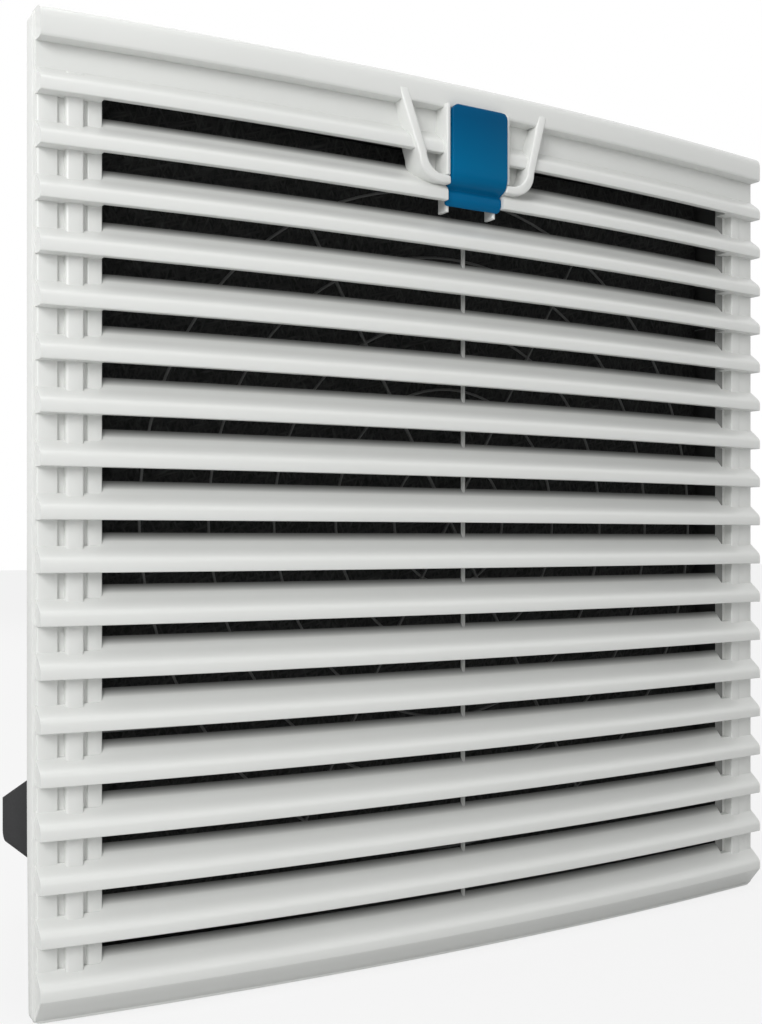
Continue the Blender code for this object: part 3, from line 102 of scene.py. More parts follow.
MM = 0.001
GAP = 0.3
FLAT_FROM = 9.6  # cover depth behind which nothing follows the arch
STATIONS = 49
SHARP = 32.0  # degrees from which an edge stays sharp
HINGE_UP = 4.5  # hinge axis above the lower edge of the face
HINGE_Y = -6.0
LUG_X = 105.0
RETAINER_STEP = 25.0
RETAINER_RINGS = 5
SIDE_ARM_X = (102.5, 145.9)  # inner and outer end of the retainer's side arms
SIDE_ARM_Z = 70.0
HOUSING_SCREW_R = 125.3
GUARD_SCREW_R = 115.0
GEOMETRY_OUTPUT = (("Geometry", "Geometry"),)
SURFACE_OUTPUTS = (("Colour", "Color"), ("Roughness", "Float"), ("Normal", "Vector"))


def length(name, description, default):
    """A size in metres that is given here in millimetres."""
    return FloatProperty(name=name, description=description, default=default * MM, min=0.0,
                         subtype="DISTANCE", unit="LENGTH", precision=4)


def colour(name, description, default):
    return FloatVectorProperty(name=name, description=description, default=(*default, 1.0), size=4,
                               min=0.0, max=1.0, subtype="COLOR")


class GrilleSizes(PropertyGroup):
    """Sizes of the louvred cover."""
    face: length("Face", "Outer width and height of the cover", 323.0)
    front_depth: length("Front depth", "Depth in front of the panel, latch tab included", 25.0)
    arch: length("Arch", "How far the middle of the face stands in front of its edges", 9.5)
    pitch: length("Pitch", "Distance from one louvre to the next", 16.9)
    rows: IntProperty(name="Slots", description="Number of air slots", default=17, min=1)
    cap: length("Cap", "Height of the plain band above the first recess", 10.55)
    recess: length("Recess", "Depth of the recess between two louvres", 5.5)
    rise: length("Rise", "Height of a louvre's sloping face", 8.6)
    margin: length("Margin", "Width of the closed strip beside the slots", 20.6)
    rim: length("Rim", "Thickness of the wall round the cover", 1.8)
    back: length("Depth of the rim", "Depth of the rim's rear edge behind the louvre tips", 12.0)


class LatchSizes(PropertyGroup):
    """Sizes of the latch tab and its bezel."""
    width: length("Tab width", "Width of the blue tab", 24.4)
    above: length("Tab above", "Height of the tab above the first louvre tip", 18.0)
    below: length("Tab below", "Length of the tab below the first louvre tip", 12.0)
    lip: length("Lip below", "Lower end of the grip lip below the first louvre tip", 18.4)
    proud: length("Tab proud", "How far the tab stands in front of the louvre tips", 3.0)
    bezel_top: length("Bezel top", "Half width of the bezel at the cap", 33.6)
    bezel_low: length("Bezel bottom", "Half width of the bezel above its lower corners", 26.0)
    bezel_wall: length("Bezel wall", "Width of the bezel's rim", 3.1)


class FanSizes(PropertyGroup):
    """Sizes of the fan behind the frame."""
    front_radius: length("Inlet radius", "Outer radius of the fan housing at the front", 120.5)
    back_radius: length("Outlet radius", "Outer radius of the fan housing at the rear", 110.5)
    flange_radius: length("Flange radius", "Radius of the housing's flange", 130.0)
    start: length("Housing start", "Where the housing begins behind the panel", 22.9)
    end: length("Housing end", "Where the housing ends behind the panel", 98.0)
    depth: length("Depth", "Depth of the unit behind the panel", 118.5)
    blades: IntProperty(name="Blades", description="Number of blades", default=7, min=2)


class Finishes(PropertyGroup):
    """Colours of the moulded pieces."""
    light_grey: colour("Light grey", "Cover", (0.74, 0.75, 0.73))
    frame_grey: colour("Frame grey", "Mounting frame and catches", (0.05, 0.051, 0.05))
    blue: colour("Blue", "Latch tab", (0.0, 0.078, 0.19))
    charcoal: colour("Charcoal", "Fan housing, blades and connection box", (0.012, 0.0124, 0.0135))
    mat: colour("Mat", "Filter mat", (0.034, 0.035, 0.0345))
    gland: colour("Gland grey", "Cable gland and its nut", (0.2, 0.2, 0.21))
    cream: colour("Cream", "Terminal block", (0.66, 0.64, 0.55))


def tip_z(row):
    """Height of a louvre's tip line in millimetres; row -1 is the lower edge of the cap."""
    sizes = bpy.context.scene.grille_sizes
    return (sizes.face / 2 - sizes.cap - (row + 1) * sizes.pitch) / MM


def deep(w):
    """Y of the cover depth w in millimetres, before the arch."""
    sizes = bpy.context.scene.grille_sizes
    latch = bpy.context.scene.latch_sizes
    return (sizes.arch + latch.proud - sizes.front_depth) / MM + w


def tab_seat():
    """Half the width of the pocket that takes the latch tab."""
    return bpy.context.scene.latch_sizes.width / 2 / MM + GAP


def tip_half():
    return bpy.context.scene.grille_sizes.face / 2 / MM - 1.0


def arch_at(x):
    arch = bpy.context.scene.grille_sizes.arch / MM
    return arch * (1 - min(1.0, abs(x) / tip_half()) ** 2)


def stations(x0, x1, count=STATIONS):
    """Evenly spaced places from the smaller to the larger of two."""
    x0, x1 = min(x0, x1), max(x0, x1)
    return [x0 + (x1 - x0) * k / (count - 1) for k in range(count)]


def skinned(bm, rings, closed=False):
    """Faces between rings of vertices, with a cap at each end unless the rings close on themselves."""
    for a, b in zip(rings, rings[1:] + rings[:1] if closed else rings[1:]):
        for i in range(len(a)):
            j = (i + 1) % len(a)
            bm.faces.new((a[i], a[j], b[j], b[i]))
    if not closed:
        bm.faces.new(rings[0])
        bm.faces.new(list(reversed(rings[-1])))


def loft(bm, outline, xs):
    """A closed bar along X with the section outline, given as (w, z)."""
    skinned(bm, [[bm.verts.new((x, deep(w), z)) for w, z in outline] for x in xs])


def arch_mesh(bm):
    """Move everything in front of the cover's flat back towards the viewer by the arch."""
    for vert in bm.verts:
        if vert.co.y < deep(FLAT_FROM):
            vert.co.y -= arch_at(vert.co.x)


def box_bar(bm, x0, x1, w0, w1, z0, z1, radius=0.0):
    """An upright bar of the cover with its two front edges rounded."""
    x0, x1 = min(x0, x1), max(x0, x1)
    outline = [(x0, w1)]
    if radius > 0:
        angles = [math.radians(30 * k) for k in range(4)]
        outline += [(x0 + radius - radius * math.cos(a), w0 + radius - radius * math.sin(a)) for a in angles]
        outline += [(x1 - radius + radius * math.sin(a), w0 + radius - radius * math.cos(a)) for a in angles]
    else:
        outline += [(x0, w0), (x1, w0)]
    outline.append((x1, w1))
    skinned(bm, [[bm.verts.new((x, deep(w), z)) for x, w in outline] for z in (z0, z1)])


def outward(bm):
    bmesh.ops.remove_doubles(bm, verts=bm.verts, dist=1e-4)
    bmesh.ops.recalc_face_normals(bm, faces=bm.faces)


def smoothed(mesh, sharp):
    mesh.shade_smooth()
    mesh.set_sharp_from_angle(angle=math.radians(sharp))


def placed(name, mesh):
    """A new object of the scene that shows the mesh."""
    obj = bpy.data.objects.new(name, mesh)
    bpy.context.scene.collection.objects.link(obj)
    return obj


def to_object(name, bm, scale=MM, sharp=SHARP):
    """Turn a bmesh in millimetres into an object, smooth except at sharp edges."""
    outward(bm)
    mesh = bpy.data.meshes.new(name)
    bm.to_mesh(mesh)
    bm.free()
    if scale != 1:
        mesh.transform(Matrix.Scale(scale, 4))
    smoothed(mesh, sharp)
    return placed(name, mesh)


def evaluated(obj, sharp=SHARP):
    """Apply all modifiers of an object to a new mesh."""
    graph = bpy.context.evaluated_depsgraph_get()
    mesh = bpy.data.meshes.new_from_object(obj.evaluated_get(graph))
    obj.modifiers.clear()
    old = obj.data
    obj.data = mesh
    if old.users == 0 and old.name != mesh.name:
        bpy.data.meshes.remove(old)
    smoothed(mesh, sharp)
    return obj


def bevelled(obj, width, segments=2, angle=35.0, sharp=SHARP):
    modifier = obj.modifiers.new("edge", "BEVEL")
    modifier.width = width * MM
    modifier.segments = segments
    modifier.limit_method = "ANGLE"
    modifier.angle_limit = math.radians(angle)
    modifier.use_clamp_overlap = True
    return evaluated(obj, sharp)


def cut(obj, tool, operation="DIFFERENCE", sharp=SHARP):
    modifier = obj.modifiers.new("cut", "BOOLEAN")
    modifier.operation = operation
    modifier.solver = "EXACT"
    modifier.object = tool
    evaluated(obj, sharp)
    bpy.data.objects.remove(tool, do_unlink=True)
    return obj


def merged(name, objects, sharp=SHARP):
    """Several closed meshes as one object."""
    bm = bmesh.new()
    for obj in objects:
        bm.from_mesh(obj.data)
        bpy.data.objects.remove(obj, do_unlink=True)
    mesh = bpy.data.meshes.new(name)
    bm.to_mesh(mesh)
    bm.free()
    smoothed(mesh, sharp)
    return placed(name, mesh)


def block(x0, x1, y0, y1, z0, z1):
    """A plain box in millimetres, later bevelled or used as a cutter."""
    x0, x1 = min(x0, x1), max(x0, x1)
    bm = bmesh.new()
    bmesh.ops.create_cube(bm, size=1.0)
    for vert in bm.verts:
        vert.co.x = x0 + (vert.co.x + 0.5) * (x1 - x0)
        vert.co.y = y0 + (vert.co.y + 0.5) * (y1 - y0)
        vert.co.z = z0 + (vert.co.z + 0.5) * (z1 - z0)
    return to_object("block", bm)


def plate(outline, y0, y1, name="plate"):
    """An outline of (x, z) points extruded along Y."""
    bm = bmesh.new()
    skinned(bm, [[bm.verts.new((x, y, z)) for x, z in outline] for y in (y0, y1)])
    return to_object(name, bm)


def turned_profile(outline, segments=96, centre=(0.0, 0.0), name="turned"):
    """A closed outline of (radius, y) spun about an axis along Y."""
    bm = bmesh.new()
    rings = []
    for s in range(segments):
        angle = 2 * math.pi * s / segments
        rings.append([bm.verts.new((centre[0] + radius * math.cos(angle), y,
                                    centre[1] + radius * math.sin(angle))) for radius, y in outline])
    for a, b in zip(rings, rings[1:] + rings[:1]):
        for i, here in enumerate(outline):
            j = (i + 1) % len(outline)
            if here[0] or outline[j][0]:
                bm.faces.new((a[i], a[j], b[j], b[i]))
    bmesh.ops.remove_doubles(bm, verts=bm.verts, dist=1e-5)
    bmesh.ops.dissolve_degenerate(bm, edges=bm.edges, dist=1e-6)
    return to_object(name, bm)


def sleeve(inner, outer, x0, x1, y, z, segments):
    """A short tube along X whose axis runs through (y, z)."""
    x0, x1 = min(x0, x1), max(x0, x1)
    tube = turned_profile([(inner, x0), (outer, x0), (outer, x1), (inner, x1)], segments)
    tube.data.transform(Matrix.Rotation(math.radians(-90), 4, "Z"))
    tube.data.transform(Matrix.Translation(Vector((0, y, z)) * MM))
    return tube


def turn(obj, degrees, axis="Y"):
    obj.data.transform(Matrix.Rotation(math.radians(degrees), 4, axis))
    return obj


def dress(obj, body, slot, material, *nodes):
    """Give a piece its material and body, and let it stand for its CAD nodes; the record slot is not used."""
    obj.data.materials.clear()
    obj.data.materials.append(material)
    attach(obj, body)
    if nodes:
        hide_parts(*nodes)
    return obj


def refined(node, material, width=0.35, sharp=SHARP):
    """A copy of a CAD node with clean faces and softened edges, standing for that node."""
    source = frame["nodes"][node]
    bm = bmesh.new()
    bm.from_mesh(source.data)
    bmesh.ops.remove_doubles(bm, verts=bm.verts, dist=2e-6)
    bmesh.ops.dissolve_limit(bm, angle_limit=math.radians(0.4), verts=bm.verts, edges=bm.edges)
    mesh = bpy.data.meshes.new(node + "_finished")
    bm.to_mesh(mesh)
    bm.free()
    obj = placed(mesh.name, mesh)
    if width > 0:
        bevelled(obj, width, sharp=sharp)
    else:
        smoothed(mesh, sharp)
    slots = {row["node"]: row["material_slot"] for row in frame["record"]["subparts"]}
    bodies = frame["record"]["behaviour"]["bodies"]
    body = next(key for key, nodes in bodies.items() if node in nodes)
    return dress(obj, body, slots[node], material, node)


def new_group(name, kind, inputs, outputs):
    """An empty node group with the named inputs and outputs."""
    tree = bpy.data.node_groups.new(name, kind)
    for label, socket, value in inputs:
        item = tree.interface.new_socket(label, in_out="INPUT", socket_type="NodeSocket" + socket)
        if value is not None:
            item.default_value = value
    for label, socket in outputs:
        tree.interface.new_socket(label, in_out="OUTPUT", socket_type="NodeSocket" + socket)
    return tree, tree.nodes.new("NodeGroupInput").outputs, tree.nodes.new("NodeGroupOutput").inputs


def link(tree, source, target):
    tree.links.new(source, target)


def made(tree, kind, inputs=(), **settings):
    """A node with its settings, and its inputs linked to sockets or set to values."""
    node = tree.nodes.new(kind)
    for key, value in settings.items():
        setattr(node, key, value)
    for key, value in dict(inputs).items():
        if isinstance(value, bpy.types.NodeSocket):
            link(tree, value, node.inputs[key])
        else:
            node.inputs[key].default_value = value
    return node


def calculated(tree, operation, *inputs):
    """Output of a math node whose inputs are sockets or numbers."""
    return made(tree, "ShaderNodeMath", enumerate(inputs), operation=operation).outputs[0]


def ranged(tree, value, start, target=(0.0, 1.0), kind="LINEAR"):
    """A value mapped from one range onto another."""
    return made(tree, "ShaderNodeMapRange", {
        "Value": value, "From Min": start[0], "From Max": start[1], "To Min": target[0], "To Max": target[1]},
        interpolation_type=kind).outputs["Result"]


def split(tree, vector):
    """The X, Y and Z outputs of a vector."""
    return made(tree, "ShaderNodeSeparateXYZ", {0: vector}).outputs


def end_tree(tree, geometry, material, out):
    """Realize the instances, set the material and lead the result to the output."""
    real = made(tree, "GeometryNodeRealizeInstances", {"Geometry": geometry})
    paint = made(tree, "GeometryNodeSetMaterial", {
        "Geometry": real.outputs["Geometry"], "Material": material})
    link(tree, paint.outputs["Geometry"], out["Geometry"])


def copied(tree, piece, count, offset, **placing):
    """Instances of a piece on a line of points."""
    line = made(tree, "GeometryNodeMeshLine", {"Count": count, "Offset": offset})
    return made(tree, "GeometryNodeInstanceOnPoints", {
        "Points": line.outputs["Mesh"], "Instance": piece, **placing}).outputs["Instances"]


def moved(tree, geometry, along_y):
    """Geometry shifted along Y by a value or field."""
    shift = made(tree, "ShaderNodeCombineXYZ", {"Y": along_y})
    return made(tree, "GeometryNodeSetPosition", {
        "Geometry": geometry, "Offset": shift.outputs[0]}).outputs["Geometry"]


def row_tree():
    """Repeats a straight louvre downwards and gives every copy the arch of the face."""
    name = "Louvre rows"
    if name in bpy.data.node_groups:
        return bpy.data.node_groups[name]
    tree, given, out = new_group(name, "GeometryNodeTree", (
        ("Louvre", "Object", None), ("Rows", "Int", 1), ("Pitch", "Float", 0.0169), ("Arch", "Float", 0.0095),
        ("Half width", "Float", 0.1605), ("Material", "Material", None)), GEOMETRY_OUTPUT)
    info = made(tree, "GeometryNodeObjectInfo", {"Object": given["Louvre"]})
    down = made(tree, "ShaderNodeCombineXYZ", {"Z": calculated(tree, "MULTIPLY", given["Pitch"], -1.0)})
    copies = copied(tree, info.outputs["Geometry"], given["Rows"], down.outputs[0])
    real = made(tree, "GeometryNodeRealizeInstances", {"Geometry": copies})
    place = split(tree, made(tree, "GeometryNodeInputPosition").outputs[0])
    share = calculated(tree, "DIVIDE", place["X"], given["Half width"])
    less = calculated(tree, "SUBTRACT", calculated(tree, "MULTIPLY", share, share), 1.0)
    bulge = calculated(tree, "MULTIPLY", less, given["Arch"])
    end_tree(tree, moved(tree, real.outputs["Geometry"], bulge), given["Material"], out)
    return tree


def turn_tree():
    """Repeats a piece round the fan's axis."""
    name = "Turn pattern"
    if name in bpy.data.node_groups:
        return bpy.data.node_groups[name]
    tree, given, out = new_group(name, "GeometryNodeTree", (
        ("Piece", "Object", None), ("Count", "Int", 4), ("Material", "Material", None)), GEOMETRY_OUTPUT)
    info = made(tree, "GeometryNodeObjectInfo", {"Object": given["Piece"]})
    index = made(tree, "GeometryNodeInputIndex").outputs[0]
    angle = calculated(tree, "MULTIPLY", calculated(tree, "DIVIDE", index, given["Count"]), 2 * math.pi)
    euler = made(tree, "ShaderNodeCombineXYZ", {"Y": angle})
    copies = copied(tree, info.outputs["Geometry"], given["Count"], (0.0, 0.0, 0.0),
                    Rotation=euler.outputs[0])
    end_tree(tree, copies, given["Material"], out)
    return tree


def ring_tree():
    """Rings of round wire whose radii grow by one step."""
    name = "Wire rings"
    if name in bpy.data.node_groups:
        return bpy.data.node_groups[name]
    tree, given, out = new_group(name, "GeometryNodeTree", (
        ("Rings", "Int", 4), ("First radius", "Float", 0.05), ("Step", "Float", 0.01),
        ("Depth", "Float", 0.1), ("Wire radius", "Float", 0.001), ("Wire sides", "Int", 10),
        ("Material", "Material", None)), GEOMETRY_OUTPUT)
    circle = made(tree, "GeometryNodeCurvePrimitiveCircle", {"Resolution": 96, "Radius": 1.0})
    index = made(tree, "GeometryNodeInputIndex").outputs[0]
    radius = calculated(tree, "MULTIPLY_ADD", index, given["Step"], given["First radius"])
    copies = copied(tree, circle.outputs["Curve"], given["Rings"], (0.0, 0.0, 0.0), Scale=radius,
                    Rotation=(math.pi / 2, 0.0, 0.0))
    real = made(tree, "GeometryNodeRealizeInstances", {"Geometry": copies})
    section = made(tree, "GeometryNodeCurvePrimitiveCircle", {
        "Resolution": given["Wire sides"], "Radius": given["Wire radius"]})
    wire = made(tree, "GeometryNodeCurveToMesh", {
        "Curve": real.outputs["Geometry"], "Profile Curve": section.outputs["Curve"]})
    end_tree(tree, moved(tree, wire.outputs["Mesh"], given["Depth"]), given["Material"], out)
    return tree


def grown(name, tree, values, sharp=SHARP):
    """The mesh that a geometry tree makes from the given values of its inputs."""
    obj = placed(name, bpy.data.meshes.new(name))
    modifier = obj.modifiers.new("pattern", "NODES")
    modifier.node_group = tree
    keys = {item.name: item.identifier for item in tree.interface.items_tree
            if item.item_type == "SOCKET" and item.in_out == "INPUT"}
    for label, value in values.items():
        modifier[keys[label]] = value
    obj.update_tag()
    bpy.context.view_layer.update()
    evaluated(obj, sharp)
    bm = bmesh.new()
    bm.from_mesh(obj.data)
    bmesh.ops.recalc_face_normals(bm, faces=bm.faces)
    bm.to_mesh(obj.data)
    bm.free()
    smoothed(obj.data, sharp)
    return obj


def repeated(name, piece, count, material, sharp=SHARP):
    """A piece repeated round the fan's axis; the single piece is taken away."""
    result = grown(name, turn_tree(), {"Piece": piece, "Count": count, "Material": material}, sharp)
    bpy.data.objects.remove(piece, do_unlink=True)
    return result


def noise_value(tree, scale, detail, coordinates, stretch=None):
    """A noise on Object coordinates, stretched where a direction is given."""
    if stretch:
        coordinates = made(tree, "ShaderNodeMapping", {
            "Scale": stretch, "Vector": coordinates}).outputs["Vector"]
    return made(tree, "ShaderNodeTexNoise", {
        "Scale": scale, "Detail": detail, "Vector": coordinates}).outputs["Fac"]


def spread(tree, value, low, high):
    """Map a value around one half onto a range."""
    return ranged(tree, value, (0.3, 0.7), (low, high))


def end_surface(tree, given, out, value, rough, height, strength, distance):
    """Lead the tinted colour, the roughness and the bumped normal of a surface to its outputs."""
    shade = made(tree, "ShaderNodeHueSaturation", {"Color": given["Colour"], "Value": value})
    bump = made(tree, "ShaderNodeBump", {"Strength": given[strength], "Distance": distance, "Height": height})
    link(tree, shade.outputs["Color"], out["Colour"])
    link(tree, calculated(tree, "ADD", rough, given["Roughness"]), out["Roughness"])
    link(tree, bump.outputs["Normal"], out["Normal"])


def moulded_group():
    """Fine spark-eroded grain and faint clouding of moulded plastic."""
    name = "Moulded surface"
    if name in bpy.data.node_groups:
        return bpy.data.node_groups[name]
    tree, given, out = new_group(name, "ShaderNodeTree", (
        ("Colour", "Color", (0.8, 0.8, 0.8, 1.0)), ("Clouding", "Float", 0.03), ("Roughness", "Float", 0.4),
        ("Grain", "Float", 0.05)), SURFACE_OUTPUTS)
    place = made(tree, "ShaderNodeTexCoord").outputs["Object"]
    cloud = spread(tree, noise_value(tree, 14.0, 3.0, place), -1.0, 1.0)
    value = calculated(tree, "MULTIPLY_ADD", cloud, given["Clouding"], 1.0)
    speck = spread(tree, noise_value(tree, 900.0, 2.0, place), -0.015, 0.015)
    end_surface(tree, given, out, value, speck, noise_value(tree, 1700.0, 3.0, place), "Grain", 0.00008)
    return tree


def metal_group():
    """Drawn lines and small stains of plated metal."""
    name = "Metal surface"
    if name in bpy.data.node_groups:
        return bpy.data.node_groups[name]
    tree, given, out = new_group(name, "ShaderNodeTree", (
        ("Colour", "Color", (0.6, 0.6, 0.6, 1.0)), ("Roughness", "Float", 0.3), ("Lines", "Float", 0.1)),
        SURFACE_OUTPUTS)
    place = made(tree, "ShaderNodeTexCoord").outputs["Object"]
    lines = noise_value(tree, 700.0, 3.0, place, (1.0, 0.04, 1.0))
    stain = spread(tree, noise_value(tree, 60.0, 4.0, place), 0.86, 1.08)
    end_surface(tree, given, out, stain, spread(tree, lines, -0.08, 0.1), lines, "Lines", 0.00005)
    return tree


def new_material(name):
    """A material with its node tree and the inputs of its Principled shader."""
    material = bpy.data.materials.new(name)
    material.use_nodes = True
    return material, material.node_tree, material.node_tree.nodes["Principled BSDF"].inputs


def grouped_material(name, surface, values, metallic=0.0, shine=0.5):
    """A Principled material that takes its colour, roughness and normal from a group."""
    if name in bpy.data.materials:
        return bpy.data.materials[name]
    material, tree, shader = new_material(name)
    shader["Metallic"].default_value = metallic
    shader["Specular IOR Level"].default_value = shine
    group = made(tree, "ShaderNodeGroup", node_tree=surface)
    for label, value in values.items():
        group.inputs[label].default_value = value
    for label, target in (("Colour", "Base Color"), ("Roughness", "Roughness"), ("Normal", "Normal")):
        link(tree, group.outputs[label], shader[target])
    return material


def plastic(name, tint, roughness=0.42, grain=0.12, clouding=0.02, shine=0.5):
    return grouped_material(name, moulded_group(), {
        "Colour": tint, "Roughness": roughness, "Grain": grain, "Clouding": clouding}, 0.0, shine)


def metal(name, tint, roughness=0.3, lines=0.1):
    return grouped_material(name, metal_group(), {
        "Colour": (*tint, 1.0), "Roughness": roughness, "Lines": lines}, 1.0)


def light_plastic():
    """Glossy light grey with painted shade: darker at the inner end of the louvres' sloping faces, as where
    the louvre above shades them.
    """
    material = plastic("cover_plastic", bpy.context.scene.finishes.light_grey, 0.24, 0.01, 0.01)
    tree = material.node_tree
    arch = bpy.context.scene.grille_sizes.arch
    # Painted shade: front-facing faces within the slots' width darken with their depth behind the louvre
    # tips.
    painted_shade_depths = (6.8, 9.4)
    painted_shade_half_width = 144.3
    painted_shade_strength = 0.94
    coordinates = made(tree, "ShaderNodeTexCoord").outputs
    place = split(tree, coordinates["Object"])
    square = calculated(tree, "MULTIPLY", place["X"], place["X"])
    flat = calculated(tree, "MULTIPLY_ADD", square, -arch / (tip_half() * MM) ** 2, place["Y"])
    depth = ranged(tree, flat, [deep(w) * MM - arch for w in painted_shade_depths])
    facing = ranged(tree, split(tree, coordinates["Normal"])["Y"], (-0.2, -0.5), kind="SMOOTHSTEP")
    among = calculated(tree, "LESS_THAN", square, (painted_shade_half_width * MM) ** 2)
    shaded = calculated(tree, "MULTIPLY", calculated(tree, "MULTIPLY", depth, facing), among)
    # Darken the grey by the painted shade.
    shade = made(tree, "ShaderNodeHueSaturation", {
        "Value": calculated(tree, "MULTIPLY_ADD", shaded, -painted_shade_strength, 1.0),
        "Color": tree.nodes["Group"].outputs["Colour"]})
    link(tree, shade.outputs["Color"], tree.nodes["Principled BSDF"].inputs["Base Color"])
    return material


def frame_plastic():
    return plastic("frame_plastic", bpy.context.scene.finishes.frame_grey, 0.5, 0.15, 0.02)


def blue_plastic():
    """Blue with painted light: paler from the tab's upper end towards its grip lip, as where the rolled foot
    catches more light.
    """
    blue = bpy.context.scene.finishes.blue
    material = plastic("tab_plastic", blue, 0.25, 0.01, 0.03, 0.05)
    tree = material.node_tree
    # Painted light: the colour ramp lightens the blue downwards along the tab's height.
    height = split(tree, made(tree, "ShaderNodeTexCoord").outputs["Object"])["Z"]
    level = ranged(tree, height, ((tip_z(0) + 14.0) * MM, (tip_z(0) - 15.0) * MM))
    ramp = made(tree, "ShaderNodeValToRGB", {"Fac": level})
    stops = ramp.color_ramp.elements
    stops[0].color = tuple(blue)
    stops[1].color = (0.002, blue[1] * 1.6, blue[2] * 1.5, 1.0)
    stops.new(0.62).color = (0.0, blue[1] * 1.6, blue[2] * 1.45, 1.0)
    link(tree, ramp.outputs["Color"], tree.nodes["Group"].inputs["Colour"])
    return material


def charcoal_plastic():
    return plastic("charcoal_plastic", bpy.context.scene.finishes.charcoal, 0.5, 0.12, 0.08, 0.15)


def gland_plastic():
    return plastic("gland_plastic", bpy.context.scene.finishes.gland, 0.45, 0.15, 0.03)


def bright_steel():
    return metal("plated_steel", (0.62, 0.62, 0.63), 0.28, 0.12)


def fibre_material():
    """Tangled dark fibres: three stretched noises crossed at different angles."""
    name = "mat_fibres"
    if name in bpy.data.materials:
        return bpy.data.materials[name]
    material, tree, shader = new_material(name)
    place = made(tree, "ShaderNodeTexCoord").outputs["Object"]
    height = None
    for angle, narrow in ((0.4, 0.06), (1.9, 0.08), (2.8, 0.05)):
        turned = made(tree, "ShaderNodeMapping", {"Rotation": (0.3, angle, 0.2), "Vector": place})
        layer = noise_value(tree, 900.0, 3.0, turned.outputs["Vector"], (1.0, 1.0, narrow))
        height = calculated(tree, "MAXIMUM", height, layer) if height else layer
    ramp = made(tree, "ShaderNodeValToRGB", {"Fac": height})
    tint = bpy.context.scene.finishes.mat
    for stop, position, level in zip(ramp.color_ramp.elements, (0.45, 0.75), (0.6, 1.7)):
        stop.position = position
        stop.color = (*(part * level for part in tint[:3]), 1.0)
    bump = made(tree, "ShaderNodeBump", {"Strength": 0.9, "Distance": 0.0006, "Height": height})
    link(tree, ramp.outputs["Color"], shader["Base Color"])
    link(tree, bump.outputs["Normal"], shader["Normal"])
    shader["Roughness"].default_value = 0.95
    shader["Specular IOR Level"].default_value = 0.15
    return material


def blade_outline():
    """Section of a louvre as (w, height above its tip), with rounded tip and inner end."""
    tip = [(0.38 - 0.38 * math.sin(math.radians(a)), 0.38 - 0.38 * math.cos(math.radians(a)))
           for a in (0, 22, 45, 68, 90)]
    front = [(0.0, 3.0), (0.12, 3.6), (0.45, 4.3), (1.2, 5.1), (2.6, 6.25), (4.1, 7.45), (5.1, 8.25),
             (5.7, 8.8), (6.4, 9.55), (7.2, 10.45), (8.0, 11.35), (8.6, 12.1), (8.95, 12.6), (9.1, 12.9)]
    inner = [(9.28, 12.85), (9.3, 12.5), (9.3, 11.1), (9.05, 10.5), (8.2, 9.4), (7.2, 8.2), (5.6, 6.4),
             (3.9, 4.9), (3.1, 3.9), (2.8, 2.8), (2.75, 0.2), (2.55, 0.0)]
    return tip + front + inner


def wedge_outline(back):
    """Solid section of a louvre over the closed margins."""
    sizes = bpy.context.scene.grille_sizes
    rise = sizes.rise / MM
    return blade_outline()[:11] + [(sizes.recess / MM, rise), (back, rise), (back, 0.0)]


def at_row(outline, row):
    return [(w, tip_z(row) + up) for w, up in outline]


def cover_bars():
    """Cap, lower lip, recess back, margin pads, rib, webs and hinge lugs, before the arch."""
    sizes = bpy.context.scene.grille_sizes
    half = tip_half()
    recess = sizes.recess / MM
    top = sizes.face / 2 / MM - 0.2
    base = -top
    cap = tip_z(-1)
    first = tip_z(0)
    low = tip_z(sizes.rows)
    across = stations(-half + 0.04, half - 0.04)
    bm = bmesh.new()
    loft(bm, [(9.0, top), (4.2, top), (2.8, top - 0.12), (1.8, top - 0.5), (1.0, top - 1.15),
              (0.45, top - 2.0), (0.12, top - 3.0), (0.0, top - 4.2), (0.0, cap + 0.9), (0.1, cap + 0.45),
              (0.35, cap + 0.12), (0.8, cap), (recess, cap), (recess, first + 8.4),
              (9.0, first + 8.4)], across)
    loft(bm, [(3.0, low + 3.0), (0.02, low + 1.6), (0.0, low + 0.7), (0.12, low + 0.15), (0.5, low - 0.45),
              (2.6, low - 2.95), (4.9, low - 5.7), (5.7, base + 1.1), (6.7, base + 0.3), (7.9, base),
              (9.0, base), (9.0, low + 3.0)], across)
    # Each strip: start and end from the side's edge, depth of its front, radius of its edges.
    left = ((0.25, 20.6, 6.6, 0.0), (0.4, 6.9, 5.2, 0.5), (9.1, 14.9, 4.1, 0.9), (16.4, 21.3, 5.9, 0.6))
    right = ((0.25, 20.6, 8.6, 0.0), (0.4, 9.6, 4.9, 0.4), (9.1, 14.5, 4.5, 0.5))
    for side, strips in ((-1, left), (1, right)):
        for start, end, depth, radius in strips:
            box_bar(bm, side * (half - start), side * (half - end), depth, 9.0,
                    low + 1.0, first + 8.0, radius)
    box_bar(bm, -0.6, 0.6, 8.0, 9.3, low + 1.0, tip_z(2) + 8.0, 0.3)
    for side in (-1, 1):
        x = side * (tab_seat() - 1.9)
        box_bar(bm, x - 0.6, x + 0.6, 3.4, 8.8, tip_z(1) - 3.4, tip_z(1) + 7.0, 0.4)
    arch_mesh(bm)
    parts = [to_object("cover_bars", bm)]
    hinge_z = -sizes.face / 2 / MM + HINGE_UP
    for side in (-1, 1):
        for offset in (-1, 1):
            near = side * LUG_X + offset * 3.3
            far = near + offset * 3.2
            parts.append(sleeve(1.4, 2.4, near, far, HINGE_Y, hinge_z, 24))
            parts.append(block(near, far, HINGE_Y - 2.4, HINGE_Y + 2.4, hinge_z - 3.6, hinge_z - 1.3))
    return merged("cover_bars", parts)


